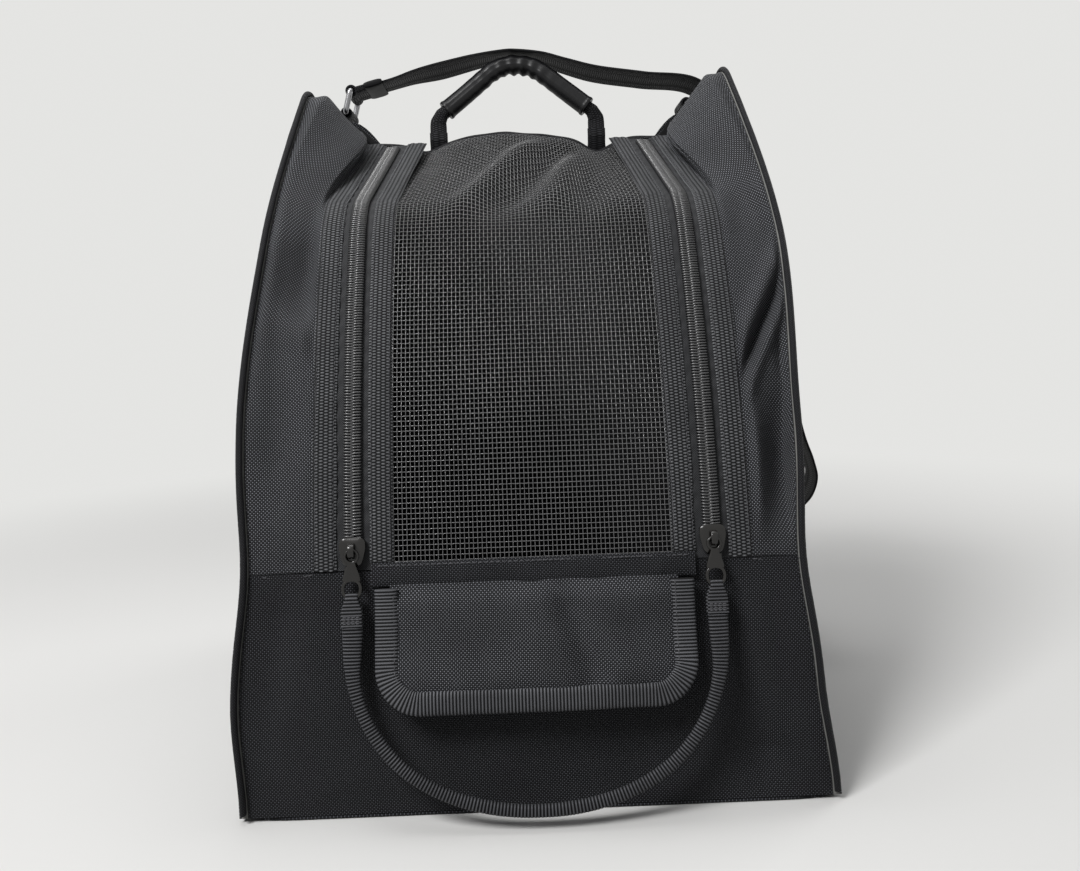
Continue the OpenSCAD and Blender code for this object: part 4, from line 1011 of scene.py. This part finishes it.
def hem():
    """Folded band between the net and the tab: a flat oval carried across, with creases where the cloth
    is doubled."""
    x = np.linspace(-ZIP_X + TAPE_REACH, ZIP_X - TAPE_REACH, 260)[:, None]
    up, out = flat_round(HEM_H, HEM_T, 22, 3.0)
    crease = 0.45 * soft(x / 60, up / 40, 13, 2.2) * (out > 0) + 0.6 * hill(x, 62, 3) * hill(up, -1, 4)
    angle = (HEM_TOP + HEM_LOW) / 2 + up / FRONT_R
    rings = xyz(x, *front_arc(angle, RUN_GAP + HEM_T / 2 + out + crease))
    # The darker oxford here is painted shadow on the folded band above the tab
    piece("flap_hem_fold", *pipe(rings, 0, x[:, 0]), FLAP, "piping", OXFORD_SHADED, ["flap_hem"])
    row = xyz(x[5:-5, 0], *front_arc(HEM_TOP - 1.6 / FRONT_R, RUN_GAP + 0.92 * HEM_T))
    stitches("flap_hem_stitches", row, FRONT_FACING, FLAP, pitch=2.9)


def tab_point(x, h, n):
    """A point of the hand tab: x across, h up, n over a plane that touches the front curve, from which
    its foot stands off."""
    out = FRONT_R + TAB_OUT + n + TAB_STAND * (0.5 - h / TAB_H) ** 2
    return leaning((MID_Y, BASE_T), TAB_A, x, -out, h)


TAB_FACING = tab_point(0.0, 0.0, 1.0) - tab_point(0.0, 0.0, 0.0)


def tab_half(h, inset):
    """Half the tab's width at height h, drawn in by inset: straight sides and round lower corners."""
    low, r = -TAB_H / 2 + inset, TAB_CORNER - inset
    drop = np.clip(low + r - h, 0, r)
    return TAB_W / 2 - inset - r + np.sqrt(r * r - drop * drop)


def tab_edge(inset, step):
    """Line along the tab's sides and foot at an inset, as x and h: straight sides, quarter circles and
    a straight foot."""
    r, top = TAB_CORNER - inset, TAB_H / 2 - 0.5
    a = np.linspace(0, np.pi / 2, 30)
    corner_x, corner_h = TAB_W / 2 - TAB_CORNER + r * np.cos(a), -TAB_H / 2 + TAB_CORNER - r * np.sin(a)
    right = np.stack([np.append(TAB_W / 2 - inset, corner_x), np.append(top, corner_h)], -1)
    return evenly(np.concatenate([right, right[::-1] * [-1, 1]]), step)


def tab_pad():
    """Padded hand tab: a crowned front over a flatter back, n = t (1 - u^4)(1 - v^4), with slanting folds.

    Its top edge is sunk behind the hem."""
    drop = np.sin(np.linspace(0, np.pi / 2, 44))
    h = (TAB_H / 2 + TAB_UP - (TAB_H + TAB_UP - 0.1 - TAB_INSET) * drop)[:, None]
    u = np.linspace(-1, 1, 91)[None]
    x = u * tab_half(h, TAB_INSET)
    v = 2 * (TAB_H / 2 - h) / (TAB_H - TAB_INSET) - 1
    crown = (1 - u ** 4) * (1 - np.abs(v) ** 4)
    sunk = 1 - ramp(TAB_H / 2 - h, 0, TAB_SUNK_L)
    slant = u - 0.3 - 0.13 * v
    folds = sum(height * hill(slant, at, width) for height, at, width in TAB_FOLDS)
    front = PAD_FRONT - FRONT_SUNK * sunk + crown * (PAD_CROWN + 0.9 * soft(u, v, 17, 1.6) + folds)
    back = PAD_BACK - BACK_SUNK * sunk
    skin = shell(tab_point(x, h, front), tab_point(x, h, back), x, h)
    made = piece("tab_pad", *skin, FLAP, "oxford", OXFORD, ["tab_front", "tab_foam", "tab_back"])


def tab_binding():
    """Ribbed binding round the tab's sides and foot: a flat oval made thicker by its ribs, with a row
    of stitches."""
    line = tab_edge(TAB_BINDING_W / 2, RIB / 4)
    l = length_along(line)[:, None]
    across, lift = flat_round(TAB_BINDING_W, TAB_BINDING_T, 32, 3.0)
    bulk = 1 + (0.45 * ribs(l, 0.0) + 0.5 * soft(l / 60, across / 20, 19, 1.8)) / 5
    path = tab_point(line[:, 0], line[:, 1], TAB_BINDING_N)
    rings = carried(path, TAB_FACING, across * bulk ** 0.5, lift * bulk)
    skin = pipe(rings, 2 * TAB_BINDING_W, l[:, 0])
    piece("tab_binding_ribbed", *skin, FLAP, "grosgrain", TAB_RIBS, ["tab_binding"])
    line = tab_edge(TAB_BINDING_W - TAB_STITCH_IN, 0.5)
    path = tab_point(line[:, 0], line[:, 1], TAB_STITCH_N)
    stitches("tab_stitches", path, TAB_FACING, FLAP, pitch=3.0, r=0.34)


def seam_thread(name, side):
    """Thread along the lower seam from a zip's binding to the side seam, with a sag of 1.2 sin(pi s)."""
    s = np.linspace(0, 1, 40)
    sag = np.sin(np.pi * s)
    x = ZIP_X + TAPE_REACH + BINDING_W - BINDING_LAP + 27 * s
    path = xyz(side * x, *front_arc(SEAM_A - (0.9 + 1.2 * sag) / FRONT_R, 0.15 - 1.0 * sag))
    stitches(f"{name}_seam_thread", path, FRONT_FACING, BAG, pitch=2.5, r=0.34)


def on_slider(side, c, u, n):
    """Points of a slider: c across from the middle of its chain, u up the front curve from its middle,
    n over the panel."""
    return xyz(side * (ZIP_X + c), *front_arc(SLIDER_A + u / FRONT_R, n))


def flare(u):
    """How much a slider widens at u: a smoothstep from its foot to FLARE_TO."""
    return SLIDER_FLARE * ramp(u, -SLIDER_L / 2, FLARE_TO)


def slider(name, side):
    """Die-cast slider: two shield-shaped plates, wider at the top than at the foot, with side walls, a
    post and a bridge.

    The front plate is domed, n falling with |t|^3 to its edge; the bridge is a flat bar along a half
    oval."""
    u = SLIDER_L / 2 * np.sin(np.linspace(-np.pi / 2, np.pi / 2, 33))[:, None]
    t = np.linspace(-1, 1, 17)[None]
    rounded = np.abs(2 * u / SLIDER_L) ** 5
    c = (SLIDER_HALF + flare(u)) * (0.42 + 0.58 * np.sqrt(np.maximum(0, 1 - rounded))) * t
    edge = np.maximum(np.abs(t) ** 3, rounded)
    plates = (PLATE_OUT + PLATE_T - 0.9 * edge, PLATE_OUT), (PLATE_IN, PLATE_IN - PLATE_T + 0.5 * edge)
    skins = [shell(on_slider(side, c, u, high), on_slider(side, c, u, low), c, u) for high, low in plates]
    run = np.linspace(-5.4, 5.6, 24)
    for at in (-1, 1):
        path = on_slider(side, at * (CHEEK_C + flare(run)), run, CHEEK_N)
        rings = carried(path, FRONT_FACING, *flat_round(CHEEK_W, CHEEK_H, 12, 5.0))
        skins.append(pipe(rings, 2 * (CHEEK_W + CHEEK_H), run))
    b = np.linspace(0, np.pi, 40)
    bow_u = BRIDGE_AT + BRIDGE_HALF * np.sign(np.cos(b)) * np.abs(np.cos(b)) ** 0.8
    bridge = on_slider(side, 0.0, bow_u, PLATE_OUT + BRIDGE_FOOT + BRIDGE_RISE * np.sin(b) ** 0.7)
    post = on_slider(side, 0.0, POST_AT, np.linspace(PLATE_IN - 0.5, PLATE_OUT + 0.3, 12))
    for path, w, h in ((bridge, BRIDGE_W, BRIDGE_T), (post, POST_W, POST_L)):
        out = np.cross(np.gradient(path, axis=0), (1.0, 0.0, 0.0))
        skins.append(pipe(carried(path, out, *flat_round(w, h, 16, 4.0)), 8.0, length_along(path)))
    node, body = f"{name}_slider", f"{name}_slider_body"
    piece(f"{node}_cast", *joined(*skins), body, "black_metal", ENAMEL, [node], crease=40)


for name, side in SIDES.items():
    grosgrain(f"{name}_outer_binding", side, TAPE_REACH - BINDING_LAP, TAPE_FROM, BAG)
    grosgrain(f"{name}_flap_binding", side, BINDING_LAP - TAPE_REACH - BINDING_W, HEM_LAP + 0.4, FLAP)
    tape(f"{name}_bag_tape", side, CHAIN_HALF, TAPE_REACH - RUN_GAP, BAG)
    tape(f"{name}_flap_tape", side, -TAPE_REACH, -CHAIN_HALF, FLAP)
    coil(f"{name}_bag_coil", side, 1, BAG)
    coil(f"{name}_flap_coil", side, -1, FLAP)
    seam_thread(name, side)
    slider(name, side)
net()
hem()
tab_pad()
tab_binding()


# Pull strap, handle and shoulder strap

# Crossbars of the sliders, as depth and height, from which the pulls hang, and the eye of a pull
PULL_AT = (-144.77, 132.733)
EYE_H, EYE_R, EYE_W, EYE_T = -PULL_L, 4.3, 1.7, 1.6
PULL_RING_W, PULL_RING_H, PULL_RING_AT, PULL_WIRE = 3.1, 3.0, -2.3, 1.5
NECK_FROM, NECK_TO, NECK_W, NECK_WIDER, NECK_HALF_T = -4.9, -14.2, 3.6, 5.2, 0.85
PULL_END_W, PULL_END_T, FOLD_NARROWER, FOLD_THICKER, LOOP_T = 9.4, 3.4, 3.7, 0.9, 1.3
PULL_FROM, LOOP_FROM, LOOP_HALF, BAR_FROM, BAR_PITCH = -31.0, -36.0, 1.7, -31.5, 1.0
UNBROKEN = 100.0
WEB_STEP = 0.35


def pull_point(x, out, h):
    """A point of the hanging pull strap: h up from the crossbars, out to the front, in a plane that
    leans by PULL_LEAN."""
    return leaning(PULL_AT, PULL_LEAN, x, -out, h)


PULL_FACING = pull_point(0.0, 1.0, 0.0) - pull_point(0.0, 0.0, 0.0)


def upright(x, h):
    """A straight line at x over heights h."""
    return np.stack(np.broadcast_arrays(x, h), -1)


def hairpin(leg, bend):
    """A line up one leg, round a bend and back down the leg's mirror image."""
    return np.concatenate([leg, bend, leg[::-1] * [-1, 1]])


def ribs_along(path, out, w, t, power, depth, sides, girth, pitch=WEB_RIB, dash=WEB_DASH):
    """Skin of ribbed webbing along a path, w wide and t thick at each point, with ribs in dashes round
    a girth."""
    l = length_along(path)[:, None]
    half_w, half_t = (np.broadcast_to(k, len(path))[:, None] / 2 for k in (w, t))
    across, lift = flat_round(2.0, 2.0, sides, power)
    rib = depth / 2 * ribs(l, girth * np.arange(sides) / sides, pitch, dash)
    rings = carried(path, out, across * half_w * (1 + rib / 3), lift * half_t * (1 + rib))
    return pipe(rings, girth, l[:, 0])


def wire(path, out, w, t, power, girth):
    """Skin of a closed ring of wire along a path, its profile an oval w by t."""
    rings = carried(path, out, *flat_round(w, t, 14, power), closed=True)
    return pipe(rings, girth, length_along(path), ends=False)


def pull_strap():
    """Webbing from pull to pull: straight legs and a half ellipse, folded lengthwise and so narrower
    below."""
    a = np.linspace(0, np.pi, 200)
    bend = np.stack([-ZIP_X * np.cos(a), -PULL_LEG - PULL_DROP * np.sin(a)], -1)
    line = hairpin(upright(-ZIP_X, np.linspace(PULL_FROM, -PULL_LEG, 20)[:-1]), bend)
    sway = 1.2 * np.sin(2 * np.pi * (line[:, 1] + PULL_LEG) / 90) * ramp(-line[:, 1], 40, 70)
    line[:, 0] += sway * np.sign(line[:, 0])
    line = evenly(line, RIB / 4)
    l = length_along(line)
    w = PULL_END_W - FOLD_NARROWER * ramp(from_end(l), 4, 46) + 0.25 * soft(l / 60, 0.0, 83, 2.0)
    t = PULL_END_T + FOLD_THICKER * ramp(from_end(l), 8, 55)
    path = pull_point(line[:, 0], 0.0, line[:, 1])
    skin = ribs_along(path, PULL_FACING, w, t, 3.0, 0.35, sides=24, girth=24.0, pitch=RIB, dash=UNBROKEN)
    piece("pull_strap_webbing", *skin, PULLS, "webbing", PULL_WEB, ["pull_strap"])


def pull_strap_end(name, side):
    """An end of the pull strap: a flat loop over the foot of its pull's eye, held by a bar of dense
    stitches."""
    b = np.linspace(0, np.pi, 40)
    foot = EYE_H - EYE_R
    bend = np.stack([-LOOP_HALF * np.cos(b), foot + 1.6 * np.sin(b)], -1)
    line = hairpin(upright(-LOOP_HALF, np.linspace(LOOP_FROM, foot, 40)[:-1]), bend)
    out, h = evenly(line, RIB / 4).T
    path = pull_point(side * ZIP_X, out, h)
    facing = pull_point(0.0, 0.0, 0.0) - pull_point(0.0, np.gradient(h), -np.gradient(out))
    w = 5.8 + 3.9 * ramp(-h, -foot - 1, 7 - foot)
    skin = ribs_along(path, facing, w, LOOP_T, 4.0, 0.4, sides=20, girth=20.0, pitch=RIB, dash=UNBROKEN)
    piece(f"{name}_pull_strap_loop", *skin, PULLS, "webbing", PULL_WEB)
    for row in range(4):
        bar = pull_point(side * ZIP_X + np.linspace(-4.3, 4.3, 30), 2.3, BAR_FROM - BAR_PITCH * row)
        stitches(f"{name}_pull_strap_bar_{row}", bar, PULL_FACING, PULLS, pitch=2.1, long=2.0, r=0.4)


def pull_tab(name, side):
    """Pull of a slider: a wire ring through the bridge, a flat neck that widens downward, and an oval
    eye for the strap."""
    at = side * ZIP_X
    ring = oval(PULL_RING_W, PULL_RING_H, 2.0), PULL_RING_AT, PULL_WIRE, PULL_WIRE
    eye = oval(EYE_R, EYE_R, 2.3), EYE_H, EYE_W, EYE_T
    skins = []
    for (x, h), mid, w, t in (ring, eye):
        skins.append(wire(pull_point(at + x, 0.0, mid + h), PULL_FACING, w, t, 2.6, 5.0))
    h = np.linspace(NECK_FROM, NECK_TO, 24)
    across, lift = flat_round(2.0, 2.0, 18, 4.0)
    half_w = (NECK_W + NECK_WIDER * ramp(-h, 4, 14))[:, None] / 2
    half_t = (NECK_HALF_T + 0.1 * hill(h, -9, 3))[:, None]
    rings = carried(pull_point(at, 0.0, h), PULL_FACING, across * half_w, lift * half_t)
    skins.append(pipe(rings, 16.0, -h))
    node = f"{name}_pull_tab"
    piece(f"{node}_cast", *joined(*skins), PULLS, "black_metal", ENAMEL, [node], crease=40)


# Handle: its hinge, and its outline of two legs that touch the circle of the bend
REAR_AT_RIM = HALF_D - (RIM_H - BASE_T) * np.tan(BACK_LEAN)
HINGE_Y, HINGE_Z, HINGE_REACH = REAR_AT_RIM + FOOT_T / 2, RIM_H + RUN_GAP, 4.0
HANDLE_MID = HANDLE_H - HANDLE_BEND
TO_MID = np.hypot(FOOT_X, HANDLE_MID - FOOT_L)
LEG_RISE = np.arctan2(HANDLE_MID - FOOT_L, FOOT_X) + np.arcsin(HANDLE_BEND / TO_MID)
LEG_L = np.sqrt(TO_MID ** 2 - HANDLE_BEND ** 2)
FOOT_FROM, FOOT_NARROW, FOOT_TURN, GRIP_PLAY = 1.3, 4.0, 3.0, 0.35


def handle_point(x, out, h):
    """A point of the handle: h up from its hinge, out to the rear, in a plane that leans back by
    HANDLE_LEAN."""
    return leaning((HINGE_Y, HINGE_Z), HANDLE_LEAN, x, out, h)


HANDLE_FACING = handle_point(0.0, 1.0, 0.0) - handle_point(0.0, 0.0, 0.0)


def handle_line(start):
    """Middle line of the handle as x and h: up a leg from a start along it, over the bend's circle and
    down the other leg."""
    l = np.linspace(start, LEG_L, 24)[:-1]
    a = np.linspace(LEG_RISE, -LEG_RISE, 40)
    leg = np.stack([FOOT_X - l * np.cos(LEG_RISE), FOOT_L + l * np.sin(LEG_RISE)], -1)
    return hairpin(leg, np.stack([HANDLE_BEND * np.sin(a), HANDLE_MID + HANDLE_BEND * np.cos(a)], -1))


def handle_webbing():
    """Webbing along the handle's line, flat at its feet and rolled round between them."""
    foot = upright(FOOT_X, np.linspace(FOOT_FROM, FOOT_L - FOOT_TURN, 12))
    line = evenly(hairpin(foot, handle_line(FOOT_TURN)), WEB_STEP)
    rolled = ramp(from_end(length_along(line)), 7, 21)
    w, t = (flat + (2 * CORE_R - flat) * rolled - 0.2 for flat in (FOOT_W - FOOT_NARROW, FOOT_T))
    path = handle_point(line[:, 0], 0.0, line[:, 1])
    skin = ribs_along(path, HANDLE_FACING, w, t, 2.6, 0.05, sides=28, girth=2 * FOOT_W)
    piece("handle_webbing_roll", *skin, HANDLE, "webbing", WEBBING, ["handle_webbing"])


def handle_grip():
    """Vinyl sleeve round the webbing, open at both ends: a round profile with a lip, a seam and
    wrinkles at the bend.

    A wrinkle is a sine along the sleeve, deeper on the inside of the bend."""
    line = evenly(handle_line(GRIP_START), 0.5)
    l = length_along(line)
    a = turn(36)
    mid = (l - l[-1] / 2)[:, None]
    inside = 0.5 + 0.5 * np.cos(a)
    waves = 0.55 * np.sin(2 * np.pi * mid / 7.5 + 1.2 * np.sin(a)) * (0.3 + 0.7 * inside)
    wrinkle = hill(mid, 0, 22) * (waves + 0.35 * soft(mid / 20, a / 6, 92, 3.0))
    lip = 0.45 * hill(from_end(l)[:, None], 1.2, 1.1)
    seam = -0.5 * hill(np.abs(a - np.pi * 1.5), 0, 0.09)
    flat = 1 - 0.05 * np.abs(np.sin(a))
    r = GRIP_R * flat - 0.3 + wrinkle + lip + seam + 0.25 * soft(mid / 60, a / 6, 91, 2.0)
    path = handle_point(line[:, 0], 0.0, line[:, 1])
    skin, bore = (carried(path, HANDLE_FACING, k * np.cos(a), k * np.sin(a)) for k in (r, CORE_R + GRIP_PLAY))
    rings = np.concatenate([skin, bore[::-1], skin[:1]])
    sleeve = pipe(rings, 42.0, np.concatenate([l, l[::-1], l[:1]]), ends=False)
    piece("handle_grip_sleeve", *sleeve, HANDLE, "vinyl", VINYL, ["handle_grip"])


def foot_patch(name, side):
    """Webbing sewn down the rear wall, in a box of stitches, that turns up round the handle's foot and
    bends at the hinge."""
    u = np.linspace(ROLL_UP - FOOT_SEWN, ROLL_UP, 30)
    wall = back_point(side * FOOT_X, u, -FOOT_T / 2 - 1.3 * ramp(ROLL_UP - u, 0, 30))
    foot = handle_point(side * FOOT_X, 0.0, np.linspace(0.5, 5, 8))
    path = evenly(np.concatenate([wall, foot]), WEB_STEP)
    wide = FOOT_W + 0.5 - FOOT_NARROW * ramp(length_along(path), FOOT_SEWN - 12, FOOT_SEWN)
    skin = ribs_along(path, REAR_FACING, wide, FOOT_T + 0.6, 5.0, 0.12, sides=24, girth=2 * FOOT_W)
    made = piece(f"{name}_handle_foot", *skin, None, "webbing", WEBBING, [f"{name}_handle_foot_patch"])
    across, up = oval(FOOT_W / 2 - 1.8, 11.0, 12.0, 120)
    box = back_point(side * FOOT_X + across, ROLL_UP - FOOT_SEWN / 2 - 3 + up, -FOOT_T - 1.9)
    stitches(f"{name}_handle_foot_stitches", box, REAR_FACING, BAG, pitch=3.0)
    return made


# Route of the shoulder strap as x and z: over the handle in shares of the anchor's x and heights over the
# rim, then down beside the right panel as distances out of it and heights over the rim, and up to its ring
STRAP_Y = REAR_AT_RIM + 2 + STRAP_W / 2
ANCHOR = np.array([HALF_W - 38, RIM_H + 20])
LEFT_BAR, RIGHT_BAR = ANCHOR * [-1, 1] + [4, 14], ANCHOR + [9, -6]
CREST = 2 * RUN_GAP + HANDLE_H * np.cos(HANDLE_LEAN) + GRIP_R + STRAP_T / 2
STRAP_OVER = np.array([[-0.73, 40.5], [-0.6, 44.5], [-0.43, 48.3], [-0.25, 52.8], [-0.1, 55.8], [0, CREST],
                       [0.15, 54], [0.3, 48.6], [0.48, 43], [0.755, 38.3], [1.07, 32.7]])
STRAP_HANG = np.array([[8.5, 7], [17, -51], [35, -131], [51, -196], [61.5, -222], [64.5, -236], [58, -250],
                       [43, -259], [25, -256], [13, -241], [8, -216], [7, -171], [6.5, -101], [5, -31],
                       [3, -9]])
HANG_H = RIM_H + STRAP_HANG[:, 1] - BASE_T
HANG_X = HALF_W - HANG_H * np.sin(SIDE_LEAN) + side_bow(HANG_H, 1) + STRAP_HANG[:, 0]
STRAP_ROUTE = np.concatenate([
    [LEFT_BAR + [3, 0.8]], STRAP_OVER * [ANCHOR[0], 1] + [0, RIM_H],
    np.stack([HANG_X, RIM_H + STRAP_HANG[:, 1]], -1), [RIGHT_BAR + [15.5, -9], RIGHT_BAR + [3.6, 1.6]]])
LOOP_R, RING_R = 2.3, 2.0
STRAP_TIP, DOUBLED_L, DOUBLED_T = np.radians(9), 9.0, 2.4
ANCHOR_STEM, ANCHOR_HALF, ANCHOR_OPEN = -30.0, 0.85, 1.28
FRAME_HALF_L, FRAME_T, FRAME_WALL, SLOT_T, SLOT_PLAY = 6.0, 5.0, 6.0, 2.2, 0.6


def through(points, steps):
    """A smooth curve through points: Catmull-Rom, a cubic between each pair with the slope of its
    neighbours."""
    p = np.concatenate([points[:1], points, points[-1:]])
    t = np.linspace(0, 1, steps, endpoint=False)[:, None, None]
    a, b, c, d = p[:-3], p[1:-2], p[2:-1], p[3:]
    bent = (2 * a - 5 * b + 4 * c - d) * t ** 2 + (3 * b - a - 3 * c + d) * t ** 3
    curve = 0.5 * (2 * b + (c - a) * t + bent)
    return np.concatenate([curve.transpose(1, 0, 2).reshape(-1, points.shape[1]), points[-1:]])


def strap_like(name, line, nodes=(), tip=0.0, doubled=0.0):
    """Flat webbing along a line of x and z, wide along Y about STRAP_Y, its face tipped by an angle at
    each point.

    Up to a length of doubled it is folded back on itself and so thicker."""
    path = xyz(line[:, 0], STRAP_Y, line[:, 1])
    flat = unit(np.cross(unit(np.gradient(path, axis=0)), (0, 1, 0)))
    tip = np.broadcast_to(tip, len(line))[:, None]
    out = flat * np.cos(tip) + np.array([0, 1, 0]) * np.sin(tip)
    thick = STRAP_T
    if doubled:
        thick = STRAP_T + DOUBLED_T * (1 - ramp(length_along(line), doubled, doubled + 2))
    skin = ribs_along(path, out, STRAP_W, thick, 7.0, 0.14, sides=34, girth=54.0)
    piece(name, *skin, BAG, "webbing", WEBBING, nodes)


def shoulder_strap():
    """The strap along its route, tipped a little to the front where it is free, with an end looped
    round each ring's bar.

    An anchor is a doubled strip that stands on the rear wall, looped round the ring's other bar."""
    line = evenly(through(STRAP_ROUTE, 12), WEB_STEP)
    l = length_along(line)
    free = ramp(from_end(l), 22, 60) * (1 - 0.85 * hill(line[:, 0], 0, 30)) * (1 - ramp(l, 260, 330))
    strap_like("shoulder_strap_webbing", line, ["shoulder_strap"], STRAP_TIP * free, DOUBLED_L)
    r = LOOP_R + STRAP_T / 2
    a = np.linspace(0, 2 * np.pi, 60)
    for name, bar in (("left", LEFT_BAR), ("right", RIGHT_BAR)):
        strap_like(f"{name}_strap_end_loop", evenly(bar + r * np.stack([np.cos(a), np.sin(a)], -1), WEB_STEP))
    a = np.linspace(-ANCHOR_OPEN, np.pi + ANCHOR_OPEN, 60)
    stem = upright(ANCHOR_HALF, np.linspace(ANCHOR_STEM, r * np.sin(a[0]), 40)[:-1])
    line = hairpin(stem, r * np.stack([np.cos(a), np.sin(a)], -1))
    for name, side in SIDES.items():
        node = f"{name}_ring_anchor"
        strap_like(f"{node}_webbing", evenly(ANCHOR * [side, 1] + line, WEB_STEP), [node])


def strap_ring(name, p, q):
    """Wire ring: a round wire along a rounded rectangle, two bars along Y at p and q and a link at each
    end."""
    along, share = oval(STRAP_W / 2 + RUN_GAP + RING_R, 1.0, 9.0, 160)
    mid = (p + q) / 2 + (q - p) / 2 * share[:, None]
    path = xyz(mid[:, 0], STRAP_Y + along, mid[:, 1])
    out = np.cross((0, 1, 0), (q[0] - p[0], 0, q[1] - p[1]))
    girth = 2 * RING_R - 0.3
    skin = wire(path, out, girth, girth, 2.0, 12.0)
    piece(f"{name}_strap_ring_wire", *skin, BAG, "black_metal", STEEL, [f"{name}_strap_ring"])


def adjuster():
    """Slide of the strap: a rounded frame round it, a superellipse outside and a slot inside, crowned
    along its length."""
    at, on = through(STRAP_ROUTE[:2], 20)[10], STRAP_ROUTE[1] - STRAP_ROUTE[0]
    on = on / np.hypot(*on)
    s = np.linspace(-FRAME_HALF_L, FRAME_HALF_L, 25)
    crown = (1 - 0.3 * (np.abs(s) / FRAME_HALF_L) ** 4)[:, None]
    outer_w, outer_t = flat_round(STRAP_W + FRAME_WALL, FRAME_T, 48, 6.0)
    slot_w, slot_t = flat_round(STRAP_W + SLOT_PLAY, SLOT_T, 48, 8.0)
    wide = np.concatenate([outer_w * (0.96 + 0.04 * crown), np.tile(slot_w, (len(s), 1))])
    high = np.concatenate([outer_t * crown, np.tile(slot_t, (len(s), 1))])
    run = np.concatenate([s, s[::-1]])[:, None]
    rings = xyz(at[0] + run * on[0] - high * on[1], STRAP_Y + wide, at[1] + run * on[1] + high * on[0])
    rings = np.concatenate([rings, rings[:1]])
    skin = pipe(rings, 60.0, np.append(run[:, 0], run[0]), ends=False)
    piece("strap_adjuster_frame", *skin, BAG, "black_plastic", PLASTIC, ["strap_adjuster"], crease=40)


pull_strap()
for name, side in SIDES.items():
    pull_strap_end(name, side)
handle_webbing()
handle_grip()
for name, side in SIDES.items():
    pull_tab(name, side)
    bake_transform(foot_patch(name, side))
shoulder_strap()
strap_ring("left", ANCHOR * [-1, 1], LEFT_BAR)
strap_ring("right", ANCHOR, RIGHT_BAR)
adjuster()
for node, material in (("zip_bottom_stops", ENAMEL), ("zip_top_stops", FILM), ("base_board", BOARD)):
    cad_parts[node].data.materials.clear()
    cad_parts[node].data.materials.append(material)
